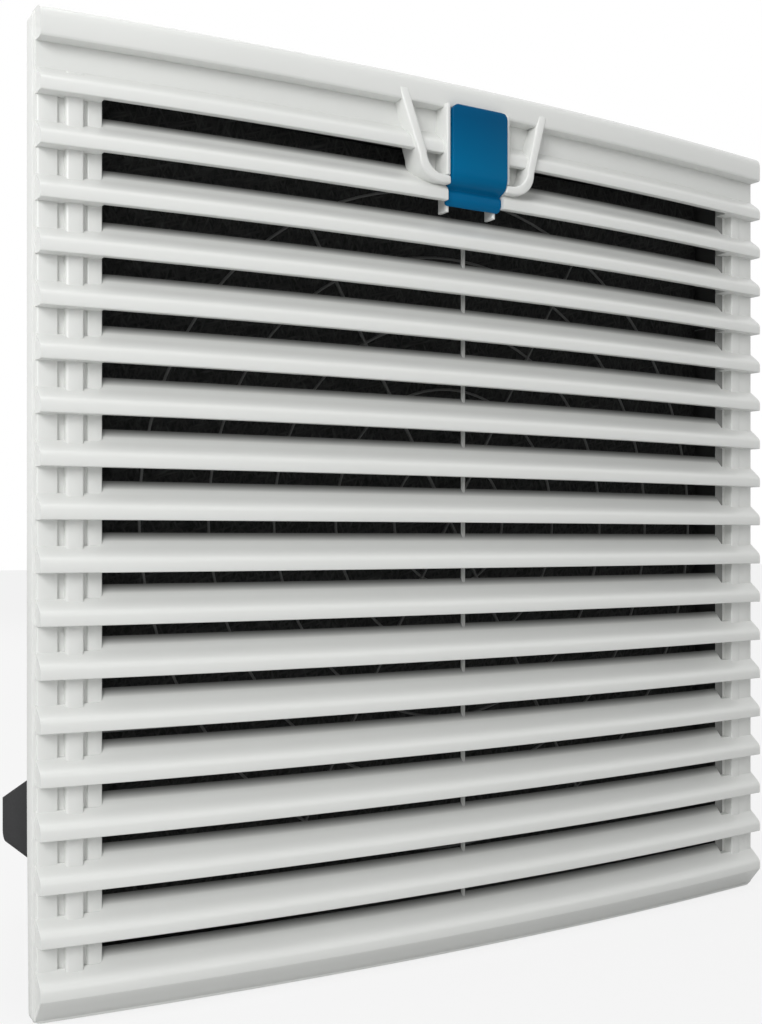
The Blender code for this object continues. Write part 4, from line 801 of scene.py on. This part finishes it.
def cover_rim():
    """Wall round the cover; its front edge follows the arch and its rear edge is flat."""
    sizes = bpy.context.scene.grille_sizes
    half = sizes.face / 2 / MM
    wall = sizes.rim / MM
    radius = 3.0
    reach = half - radius
    front = 6.1
    taper_from = -95.0

    def corner(quarter, side, level, count=5):
        angles = [math.radians(90 * quarter + 18 * k) for k in range(1, count + 1)]
        return [(side * reach + radius * math.sin(a), level * reach + radius * math.cos(a),
                 math.sin(a), math.cos(a)) for a in angles]

    straight = stations(-reach, reach, 41)
    levels = [reach - 2 * reach * k / 12 for k in range(1, 13)]
    path = [(x, half, 0.0, 1.0) for x in straight] + corner(0, 1, 1)
    path += [(half, z, 1.0, 0.0) for z in levels] + corner(1, 1, -1)
    path += [(-x, -half, 0.0, -1.0) for x in straight[1:]] + corner(2, -1, -1)
    path += [(-half, -z, -1.0, 0.0) for z in levels] + corner(3, -1, 1, 4)
    bm = bmesh.new()
    rings = []
    for x, z, nx, nz in path:
        back = sizes.back / MM - 2.0 * min(1.0, max(0.0, (taper_from - z) / (half + taper_from)))
        section = ((0.5, front), (0.15, front + 0.15), (0.0, front + 0.5), (0.0, back - 0.3), (0.3, back),
                   (wall, back), (wall, front))
        rings.append([bm.verts.new((x - nx * inset, deep(w) - (arch_at(x) if w < FLAT_FROM else 0.0),
                                    z - nz * inset)) for inset, w in section])
    skinned(bm, rings, closed=True)
    return to_object("cover_rim", bm)


def bezel_outline(inset):
    """Shield shape of the latch bezel, as (x, z), inset all round."""
    latch = bpy.context.scene.latch_sizes
    bottom = tip_z(0) - 11.5 + inset
    top = tip_z(-1) + 4.5
    corner = 9.0 - inset / 2
    low = latch.bezel_low / MM - inset
    wide = latch.bezel_top / MM - inset * 1.25
    right = []
    for k in range(10):
        angle = math.radians(-90 + 10 * k)
        right.append((low - corner + corner * math.cos(angle), bottom + corner + corner * math.sin(angle)))
    left = [(-x, z) for x, z in reversed(right)]
    return left + right + [(wide, top), (-wide, top)]


def arched(obj):
    """Give an unarched object in place the arch of the face."""
    for vert in obj.data.vertices:
        if vert.co.y < deep(FLAT_FROM) * MM:
            vert.co.y -= arch_at(vert.co.x / MM) * MM
    return obj


def latch_bezel():
    """Bezel ring, cheeks beside the tab and the pocket floors."""
    wall = bpy.context.scene.latch_sizes.bezel_wall / MM
    first = tip_z(0)
    seat = tab_seat()
    ring = plate(bezel_outline(0.0), deep(-2.0), deep(8.8), "bezel")
    cut(ring, plate(bezel_outline(wall), deep(-3.0), deep(9.5)))
    cut(ring, block(-seat, seat, deep(-3.0), deep(4.2), first - 13.0, first + 18.0 + GAP))
    bevelled(ring, 0.7, 3)
    for vert in ring.data.vertices:
        if vert.co.y < deep(4.0) * MM:
            share = min(1.0, max(0.0, (vert.co.z / MM - tip_z(-1) + 9.0) / 13.0))
            vert.co.y += 1.9 * share * share * MM
    parts = [ring]
    for side in (-1, 1):
        cheek = block(side * seat, side * (seat + 1.8), deep(-1.7), deep(8.5), first - 8.2, tip_z(-1) + 1.2)
        parts.append(bevelled(cheek, 0.45, 3))
        parts.append(block(side * 9.4, side * 23.5, deep(5.8), deep(8.6), first - 9.0, first + 4.0))
    return arched(merged("latch_bezel", parts))


class FILTERFAN_OT_cover(Operator):
    """Build the arched louvre cover with its rim, margins and latch bezel"""
    bl_idname = "filterfan.cover"
    bl_label = "Louvre cover"

    def execute(self, context):
        sizes = context.scene.grille_sizes
        material = light_plastic()
        half = tip_half()
        slot = half - sizes.margin / MM
        values = {"Pitch": sizes.pitch, "Arch": sizes.arch, "Half width": half * MM, "Material": material}
        bm = bmesh.new()
        loft(bm, at_row(blade_outline(), 2), stations(-slot - 0.2, slot + 0.2, 57))
        blade = to_object("blade", bm)
        slats = grown("slats", row_tree(), {"Louvre": blade, "Rows": sizes.rows - 1, **values})
        bm = bmesh.new()
        for side in (-1, 1):
            loft(bm, at_row(wedge_outline(8.9), 0), stations(side * slot, side * half, 8))
        wedge = to_object("wedge", bm)
        wedges = grown("wedges", row_tree(), {"Louvre": wedge, "Rows": sizes.rows + 1, **values})
        for single in (blade, wedge):
            bpy.data.objects.remove(single, do_unlink=True)
        bm = bmesh.new()
        seat = tab_seat()
        for side in (-1, 1):
            for row, inner in ((0, 9.4), (1, seat)):
                loft(bm, at_row(blade_outline(), row), stations(side * inner, side * (slot + 0.2), 27))
        middle = [point for point in blade_outline() if point[0] > 4.5 and point[1] > 6.0]
        loft(bm, at_row(middle, 1), stations(-seat, seat, 5))
        arch_mesh(bm)
        upper = to_object("upper_slats", bm)
        cover = merged("grille_cover", [slats, wedges, upper, cover_bars(), cover_rim(), latch_bezel()])
        dress(cover, "cover", "light_grey_plastic", material, "louvre_cover")
        return {"FINISHED"}


class FILTERFAN_OT_latch(Operator):
    """Build the blue pull tab and finish its pin and spring"""
    bl_idname = "filterfan.latch"
    bl_label = "Latch"

    def execute(self, context):
        latch = context.scene.latch_sizes
        shift = context.scene.grille_sizes.arch / MM
        half = latch.width / 2 / MM
        base = tip_z(0)
        up = latch.above / MM
        down = latch.below / MM
        lip = latch.lip / MM
        front = -latch.proud / MM
        # Down the face, round the rolled foot, along the grip lip and back up behind it.
        section = [(0.5, up), (0.0, up - 0.5)]
        section += [(w, z - down) for w, z in (
            (0.0, 5.6), (0.08, 4.6), (0.35, 3.5), (0.85, 2.4), (1.6, 1.4), (2.6, 0.65), (3.9, 0.15),
            (4.6, -0.2), (4.85, -0.6), (4.75, -1.0), (4.35, -1.35), (4.2, -1.8))]
        section += [(w, z - lip) for w, z in (
            (4.2, 3.1), (4.3, 2.3), (4.7, 1.4), (5.3, 0.5), (5.9, 0.0), (6.25, 0.3))]
        section += [(w, z - down) for w, z in ((6.3, 1.0), (5.6, 1.7), (3.8, 2.5), (2.6, 3.6), (2.0, 5.2))]
        section.append((2.0, up))
        bm = bmesh.new()
        loft(bm, [(front + w - shift, base + rise) for w, rise in section], [-half, half])
        tab = to_object("tab", bm)
        frame_outline = []
        for cx, cz, start in ((half - 2.6, up - 2.6, 0), (-half + 2.6, up - 2.6, 90),
                              (-half + 1.2, -lip + 1.2, 180), (half - 1.2, -lip + 1.2, 270)):
            radius = 2.6 if cz > 0 else 1.2
            for k in range(7):
                angle = math.radians(start + 15 * k)
                frame_outline.append((cx + radius * math.cos(angle), base + cz + radius * math.sin(angle)))
        cut(tab, plate(frame_outline, deep(front - 2) - shift, deep(front + 12) - shift), "INTERSECT")
        bevelled(tab, 0.35, 3, 50.0, 40.0)
        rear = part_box("latch_tab")[1].y / MM
        arm_top = 138.4
        arm_low = arm_top - 3.2
        face = deep(front + 1.5) - shift
        arm = block(-5.0, 5.0, face, 0.4, arm_low, arm_top)
        hook = block(-5.0, 5.0, rear - 2.0, rear, arm_low, arm_top + 1.5)
        parts = [tab, bevelled(arm, 0.4), bevelled(hook, 0.3)]
        pin_y = deep(2.5) - shift
        pin_z = base + 13.5
        for inner, outer in ((-5.6, -9.0), (5.6, 9.0)):
            parts.append(sleeve(1.3, 2.3, inner, outer, pin_y, pin_z, 28))
            parts.append(block(inner, outer, face, pin_y - 1.2, pin_z - 2.3, pin_z + 2.3))
        dress(merged("pull_tab", parts, 40.0), "latch", "latch_blue", blue_plastic(), "latch_tab")
        refined("latch_pin", bright_steel(), 0.15)
        refined("latch_spring", bright_steel(), 0.0)
        return {"FINISHED"}


class FILTERFAN_OT_filter(Operator):
    """Build the filter mat, the grid that retains it and the seal behind the flange"""
    bl_idname = "filterfan.filter"
    bl_label = "Filter"

    def execute(self, context):
        low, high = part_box("filter_mat")
        middle = (low + high) / 2
        size = (high - low) / 2
        bm = bmesh.new()
        bmesh.ops.create_grid(bm, x_segments=72, y_segments=72, size=1.0)
        for vert in bm.verts:
            u, v = vert.co.x, vert.co.y
            edge = 1 - max(abs(u), abs(v)) ** 14
            coarse = noise.noise(Vector((u * 9, v * 9, 0.0)))
            fine = noise.noise(Vector((u * 31, v * 31, 4.0)))
            lump = coarse * 0.5 + fine * 0.3
            y = low.y + 0.0006 + 0.0022 * (1 - edge) + 0.0005 * lump * edge
            vert.co = (middle.x + size.x * u, y, middle.z + size.z * v)
        extruded = bmesh.ops.extrude_face_region(bm, geom=list(bm.faces))
        for item in extruded["geom"]:
            if isinstance(item, bmesh.types.BMVert):
                item.co.y = high.y - (item.co.y - low.y) * 0.6 - 0.0001
        mat = to_object("filter_pad", bm, 1, 60.0)
        dress(mat, "frame", "charcoal_fibre", fibre_material(), "filter_mat")
        # Painted shade: the retainer is given a dark grey that stands for the shade it lies in behind the
        # louvres.
        material = plastic("retainer_plastic", (0.1, 0.102, 0.1, 1.0), 0.45, 0.05, 0.02)
        low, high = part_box("filter_retainer")
        depth = (low.y + high.y) / 2
        step = RETAINER_STEP * MM
        rings = grown("rings", ring_tree(), {
            "Rings": RETAINER_RINGS, "First radius": step, "Step": step, "Depth": depth,
            "Wire radius": 0.0005, "Wire sides": 8, "Material": material})
        y = depth / MM
        bar = block(0.0, RETAINER_RINGS * RETAINER_STEP + 0.3, y - 0.55, y + 0.55, -0.5, 0.5)
        spokes = repeated("spokes", bevelled(bar, 0.25), 6, material)
        arms = []
        for side in (-1, 1):
            for z in (-SIDE_ARM_Z, SIDE_ARM_Z):
                arm = block(side * SIDE_ARM_X[0], side * SIDE_ARM_X[1], y - 0.6, y + 0.6, z - 0.8, z + 0.8)
                arms.append(bevelled(arm, 0.3))
        dress(merged("mat_retainer", [rings, spokes] + arms), "cover", "light_grey_plastic", material,
              "filter_retainer")
        seal = refined("panel_seal", plastic("seal_foam", (0.012, 0.012, 0.012, 1.0), 0.9, 0.9, 0.2), 0.3)
        seal.name = "flange_seal"
        refined("support_grid", frame_plastic(), 0.3)
        return {"FINISHED"}


class FILTERFAN_OT_frame(Operator):
    """Finish the mounting frame, its panel catches and the hinge pins"""
    bl_idname = "filterfan.frame"
    bl_label = "Mounting frame"

    def execute(self, context):
        refined("mounting_frame", frame_plastic(), 0.4)
        for node in frame["nodes"]:
            if node.startswith("panel_catch"):
                refined(node, frame_plastic(), 0.3)
        for node in ("hinge_pin_left", "hinge_pin_right"):
            refined(node, bright_steel(), 0.15)
        return {"FINISHED"}


def housing_radius(y):
    """Outer radius of the fan housing at a depth in millimetres."""
    fan = bpy.context.scene.fan_sizes
    share = min(1.0, max(0.0, (y - fan.start / MM) / ((fan.end - fan.start) / MM)))
    return (fan.front_radius + (fan.back_radius - fan.front_radius) * share ** 1.5) / MM


class FILTERFAN_OT_housing(Operator):
    """Build the fan housing with its struts, hub and bosses"""
    bl_idname = "filterfan.housing"
    bl_label = "Fan housing"

    def execute(self, context):
        fan = context.scene.fan_sizes
        start = fan.start / MM
        end = fan.end / MM
        flange = fan.flange_radius / MM
        material = charcoal_plastic()
        wall = 2.5
        edge = 0.4
        levels = stations(start, end, 19)
        last = housing_radius(end)
        inner = [(housing_radius(y) - wall, y) for y in levels[:-1]]
        inner += [(last - wall, end - edge), (last - wall + edge, end)]
        outer = [(last - edge, end), (last, end - edge)]
        outer += [(housing_radius(y), y) for y in reversed(levels[:-1]) if y > start + 4.5]
        first = housing_radius(start)
        fillet = [(first + 0.1, start + 4.4), (first + 0.5, start + 3.5), (first + 1.4, start + 3.0),
                  (flange - 0.5, start + 3.0), (flange, start + 2.5), (flange, start + edge),
                  (flange - edge, start)]
        parts = [turned_profile(inner + outer + fillet, 128, name="duct")]
        hub = [(30.0, end - 5.0), (46.2, end - 5.0), (47.0, end - 4.2), (47.0, end - 1.3), (46.2, end - 0.5),
               (30.0, end - 0.5)]
        parts.append(turned_profile(hub, 96, name="hub"))
        reach = housing_radius(end) - 1.0
        bar = block(45.0, reach, end - 5.8, end - 0.3, -4.5, 4.5)
        for vert in bar.data.vertices:
            if vert.co.y < (end - 3) * MM:
                vert.co.z *= 0.55
        bevelled(bar, 0.9, 3)
        turn(bar, 45)
        parts.append(repeated("struts", bar, 4, material))
        boss = block(reach, 119.0, end - 12.0, end - 0.1, -4.5, 4.5)
        parts.append(repeated("bosses", bevelled(boss, 0.8, 3), 4, material))
        rib = block(housing_radius(start + 8) - 0.8, 128.5, start + 2.4, start + 3.6, -0.9, 0.9)
        for vert in rib.data.vertices:
            if vert.co.y > (start + 3) * MM and vert.co.x < 0.125:
                vert.co.y += 0.009
        turn(rib, 8)
        parts.append(repeated("gussets", rib, 12, material))
        housing = merged("fan_housing", parts)
        dress(housing, "frame", "charcoal_plastic", material, "fan_shroud")
        return {"FINISHED"}


class FILTERFAN_OT_impeller(Operator):
    """Build the blades on their ring and finish the rotor"""
    bl_idname = "filterfan.impeller"
    bl_label = "Impeller"

    def execute(self, context):
        fan = context.scene.fan_sizes
        material = charcoal_plastic()
        front = 47.0
        back = 85.0
        middle = (front + back) / 2
        inner = 46.3
        outer = inner + 3.4
        ring = turned_profile([(inner, front), (outer - 1.2, front), (outer - 0.4, front + 0.3),
                               (outer, front + 1.2), (outer, back - 0.4), (outer - 0.4, back),
                               (inner, back)], 96)
        tip_clearance = 5.0
        tip = housing_radius(middle + 15) - tip_clearance
        bm = bmesh.new()
        levels = 13
        along_chord = [k / 8 - 0.5 for k in range(9)]
        section = [(at, 1) for at in along_chord] + [(at, -1) for at in reversed(along_chord)]
        rows = []
        for s in range(levels):
            share = s / (levels - 1)
            radius = outer - 1.6 + (tip - outer + 1.6) * share
            chord = 44 + 26 * share
            pitch = math.radians(40 - 14 * share)
            thickness = 4.2 - 1.6 * share
            sweep = math.radians(16 * share * share)
            row = []
            for at, side in section:
                along = chord * at
                bow = chord * 0.08 * (1 - 4 * at * at)
                off = bow + thickness * (1 - 0.55 * abs(2 * at) ** 1.6) * 0.5 * side
                around = along * math.cos(pitch) - off * math.sin(pitch)
                y = middle + along * math.sin(pitch) + off * math.cos(pitch)
                angle = around / radius + sweep
                row.append(bm.verts.new((radius * math.sin(angle), y, radius * math.cos(angle))))
            rows.append(row)
        skinned(bm, rows)
        blade = bevelled(to_object("blade", bm), 0.35, 2, 60.0)
        blades = repeated("blades", blade, fan.blades, material)
        wheel = merged("blade_wheel", [ring, blades])
        dress(wheel, "impeller", "charcoal_plastic", material, "impeller")
        for node, kind in (("rotor_cup", metal("rotor_steel", (0.4, 0.4, 0.41), 0.38, 0.2)),
                           ("rotor_ring", metal("magnet_ring", (0.12, 0.12, 0.125), 0.5, 0.05)),
                           ("rotor_shaft", bright_steel()), ("shaft_clip", bright_steel())):
            refined(node, kind, 0.0)
        return {"FINISHED"}


class FILTERFAN_OT_motor(Operator):
    """Finish the motor's base, core, winding, bearings and rear cap"""
    bl_idname = "filterfan.motor"
    bl_label = "Motor"

    def execute(self, context):
        fan = context.scene.fan_sizes
        for node, kind in (("motor_base", metal("cast_alloy", (0.52, 0.52, 0.53), 0.5, 0.3)),
                           ("stator_core", metal("core_sheets", (0.3, 0.3, 0.31), 0.45, 0.4)),
                           ("stator_winding", metal("winding_copper", (0.45, 0.19, 0.08), 0.35, 0.5)),
                           ("bearing_front", bright_steel()), ("bearing_rear", bright_steel())):
            refined(node, kind, 0.0)
        start = fan.end / MM - 0.2
        end = fan.depth / MM
        dome = [(44.0, start), (44.0, start + 2.6), (43.4, start + 3.8), (42.4, start + 5.0)]
        dome += [(38.6 + 0.9 * math.cos(math.radians(a)), end - 4.6 + 1.6 * math.sin(math.radians(a)))
                 for a in (5, 20, 35)]
        dome += [(34.0 + 5.0 * math.cos(math.radians(a)), end - 4.0 + 4.0 * math.sin(math.radians(a)))
                 for a in (40, 60, 75, 90)]
        dome += [(14.0, end), (13.4, end - 0.5), (12.6, end - 0.5), (12.0, end), (0.0, end), (0.0, end - 2.2),
                 (34.0, end - 2.2), (35.5, end - 4.0), (41.0, start + 2.5), (41.0, start)]
        cap = turned_profile(dome, 96, name="motor_cover")
        dress(cap, "frame", "charcoal_plastic", charcoal_plastic(), "motor_cap")
        return {"FINISHED"}


class FILTERFAN_OT_guard(Operator):
    """Build the wire guard behind the fan"""
    bl_idname = "filterfan.guard"
    bl_label = "Rear guard"

    def execute(self, context):
        material = bright_steel()
        end = context.scene.fan_sizes.end / MM
        centre = end + 9.0
        rings = grown("rings", ring_tree(), {
            "Rings": 4, "First radius": 0.055, "Step": 0.017, "Depth": centre * MM,
            "Wire radius": 0.0011, "Wire sides": 12, "Material": material})
        path = [(53.6, centre + 1.3), (108.6, centre + 1.3), (109.9, centre + 0.6), (110.4, centre - 0.8),
                (110.4, end + 2.3), (110.8, end + 1.4), (111.8, end + 1.1), (113.2, end + 1.1)]
        sides = 12
        bm = bmesh.new()
        rings_of_foot = []
        for i, (x, y) in enumerate(path):
            before = path[max(i - 1, 0)]
            after = path[min(i + 1, len(path) - 1)]
            direction = Vector((after[0] - before[0], after[1] - before[1], 0)).normalized()
            across = Vector((-direction.y, direction.x, 0))
            angles = [2 * math.pi * s / sides for s in range(sides)]
            rings_of_foot.append([bm.verts.new(Vector((x, y, 0)) + across * math.cos(a)
                                               + Vector((0, 0, math.sin(a)))) for a in angles])
        skinned(bm, rings_of_foot)
        spoke = to_object("spoke", bm)
        eye = turned_profile([(1.6, end + 0.35), (3.7, end + 0.35), (3.7, end + 1.85), (1.6, end + 1.85)], 32,
                             (GUARD_SCREW_R, 0.0))
        feet = repeated("feet", merged("foot", [spoke, bevelled(eye, 0.2)]), 4, material)
        dress(merged("wire_guard", [rings, feet]), "frame", "bright_steel", material, "rear_guard")
        return {"FINISHED"}


def pan_screw(x, z, seat, length_mm, shank, head):
    """A pan head screw with a cross recess, its head facing the rear."""
    outline = [(0.0, seat + 2.2), (head * 0.45, seat + 2.15), (head * 0.75, seat + 1.8),
               (head * 0.95, seat + 1.1), (head, seat + 0.4), (head, seat), (shank, seat),
               (shank, seat - length_mm),
               (0.0, seat - length_mm - 0.5)]
    screw = turned_profile(outline, 28, (x, z))
    for angle in (20, 110):
        bar = block(-head * 0.52, head * 0.52, 0.0, 2.0, -0.35, 0.35)
        turn(bar, angle)
        bar.data.transform(Matrix.Translation(Vector((x, seat + 1.1, z)) * MM))
        cut(screw, bar)
    return screw


class FILTERFAN_OT_screws(Operator):
    """Build the screws of the housing, the guard and the terminals"""
    bl_idname = "filterfan.screws"
    bl_label = "Screws"

    def execute(self, context):
        fan = context.scene.fan_sizes
        material = bright_steel()
        angle = math.radians(30)
        screw = pan_screw(HOUSING_SCREW_R * math.cos(angle), HOUSING_SCREW_R * math.sin(angle),
                          fan.start / MM + 3.3, length_mm=5.6, shank=1.4, head=3.4)
        dress(repeated("housing_screws", screw, 4, material), "frame", "bright_steel", material,
              *[f"fan_screw_{k}" for k in range(1, 5)])
        screw = pan_screw(GUARD_SCREW_R, 0.0, fan.end / MM + 2.2, length_mm=8.4, shank=1.2, head=2.8)
        dress(repeated("foot_screws", screw, 4, material), "frame", "bright_steel", material,
              *[f"guard_screw_{k}" for k in range(1, 5)])
        for k in range(1, 4):
            refined(f"terminal_screw_{k}", material, 0.15)
        return {"FINISHED"}


class FILTERFAN_OT_terminals(Operator):
    """Finish the connection box, its lid, the terminals, the gland and the lead"""
    bl_idname = "filterfan.terminals"
    bl_label = "Connection box"

    def execute(self, context):
        charcoal = plastic("box_plastic", context.scene.finishes.charcoal, 0.55, 0.1, 0.05, 0.1)
        refined("terminal_box", charcoal, 0.8)
        refined("terminal_lid", charcoal, 0.4)
        cream = plastic("terminal_cream", context.scene.finishes.cream, 0.5, 0.2, 0.03)
        refined("terminal_block", cream, 0.3)
        refined("cable_gland", gland_plastic(), 0.3)
        refined("gland_nut", gland_plastic(), 0.4)
        refined("motor_lead", plastic("lead_sheath", (0.018, 0.018, 0.019, 1.0), 0.5, 0.5, 0.05), 0.0, 60.0)
        return {"FINISHED"}


class FILTERFAN_OT_stage(Operator):
    """Set up the pale floor, the soft studio light and the camera"""
    bl_idname = "filterfan.stage"
    bl_label = "Stage"

    def execute(self, context):
        scene = context.scene
        scene.view_settings.view_transform = "Standard"
        bm = bmesh.new()
        bmesh.ops.create_grid(bm, x_segments=1, y_segments=1, size=6.0)
        floor = to_object("floor", bm, 1)
        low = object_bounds()[0]
        floor.data.transform(Matrix.Translation((0.0, 0.0, low[2] - 0.0005)))
        pale = 0.62
        white_share = 0.82
        light_level = 0.5
        material, tree, shader = new_material("floor_pale")
        shader["Base Color"].default_value = (pale, pale, pale, 1.0)
        shader["Roughness"].default_value = 0.9
        glow = made(tree, "ShaderNodeEmission", {"Strength": 1.0})
        rays = made(tree, "ShaderNodeLightPath").outputs
        mix = made(tree, "ShaderNodeMixShader", {
            "Fac": calculated(tree, "MULTIPLY", rays["Is Camera Ray"], white_share),
            1: tree.nodes["Principled BSDF"].outputs[0], 2: glow.outputs[0]})
        link(tree, mix.outputs[0], tree.nodes["Material Output"].inputs["Surface"])
        floor.data.materials.append(material)
        floor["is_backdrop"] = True
        world = bpy.data.worlds.new("studio")
        scene.world = world
        world.use_nodes = True
        tree = world.node_tree
        tree.nodes.clear()
        rays = made(tree, "ShaderNodeLightPath").outputs
        seen = calculated(tree, "MAXIMUM", rays["Is Camera Ray"], rays["Is Glossy Ray"])
        seen = calculated(tree, "MAXIMUM", seen, rays["Is Transmission Ray"])
        back = made(tree, "ShaderNodeBackground", {
            "Color": (1.0, 1.0, 1.0, 1.0), "Strength": ranged(tree, seen, (0.0, 1.0), (light_level, 1.0))})
        made(tree, "ShaderNodeOutputWorld", {"Surface": back.outputs[0]})
        # Each lamp: place and side in metres, power in watts.
        lamps = (("key", (-0.9, -0.7, 0.5), 0.6, 8.0), ("overhead", (-0.25, -0.2, 1.2), 0.5, 3.0),
                 ("rear", (0.3, 1.5, 1.1), 1.2, 6.0))
        for name, place, size, power in lamps:
            lamp = bpy.data.lights.new(name, "AREA")
            lamp.shape = "SQUARE"
            lamp.size = size
            lamp.energy = power
            obj = bpy.data.objects.new(name, lamp)
            obj.location = place
            obj.rotation_euler = (-Vector(place)).to_track_quat("-Z", "Y").to_euler()
            scene.collection.objects.link(obj)
        camera = bpy.data.cameras.new("photo_view")
        camera.lens = 45.32
        camera.sensor_width = 36.0
        camera.shift_y = 0.0265
        camera.clip_start = 0.01
        eye = bpy.data.objects.new("photo_view", camera)
        eye.location = (-0.2790, -0.4131, -0.0073)
        eye.rotation_euler = (math.radians(90.0), 0.0, math.radians(-31.27))
        scene.collection.objects.link(eye)
        scene.camera = eye
        return {"FINISHED"}


OPERATORS = (FILTERFAN_OT_cover, FILTERFAN_OT_latch, FILTERFAN_OT_filter, FILTERFAN_OT_frame,
             FILTERFAN_OT_housing, FILTERFAN_OT_impeller, FILTERFAN_OT_motor, FILTERFAN_OT_guard,
             FILTERFAN_OT_screws, FILTERFAN_OT_terminals, FILTERFAN_OT_stage)


class FILTERFAN_PT_panel(Panel):
    """Sizes, colours and building steps of the filter fan"""
    bl_label = "Filter fan"
    bl_idname = "FILTERFAN_PT_panel"
    bl_space_type = "VIEW_3D"
    bl_region_type = "UI"
    bl_category = "Filter fan"

    def draw(self, context):
        for key in ("grille_sizes", "latch_sizes", "fan_sizes", "finishes"):
            group = getattr(context.scene, key)
            box = self.layout.box()
            box.label(text=group.bl_rna.name)
            for item in group.bl_rna.properties:
                if item.identifier not in ("rna_type", "name"):
                    box.prop(group, item.identifier)
        for operator in OPERATORS:
            self.layout.operator(operator.bl_idname)


GROUPS = (("grille_sizes", GrilleSizes), ("latch_sizes", LatchSizes), ("fan_sizes", FanSizes),
          ("finishes", Finishes))


def register():
    for key, group in GROUPS:
        bpy.utils.register_class(group)
        setattr(bpy.types.Scene, key, PointerProperty(type=group))
    for operator in OPERATORS:
        bpy.utils.register_class(operator)
    bpy.utils.register_class(FILTERFAN_PT_panel)


def unregister():
    bpy.utils.unregister_class(FILTERFAN_PT_panel)
    for operator in reversed(OPERATORS):
        bpy.utils.unregister_class(operator)
    for key, group in reversed(GROUPS):
        delattr(bpy.types.Scene, key)
        bpy.utils.unregister_class(group)


def main():
    register()
    for operator in OPERATORS:
        family, name = operator.bl_idname.split(".")
        getattr(getattr(bpy.ops, family), name)()


if __name__ == "__main__":
    main()
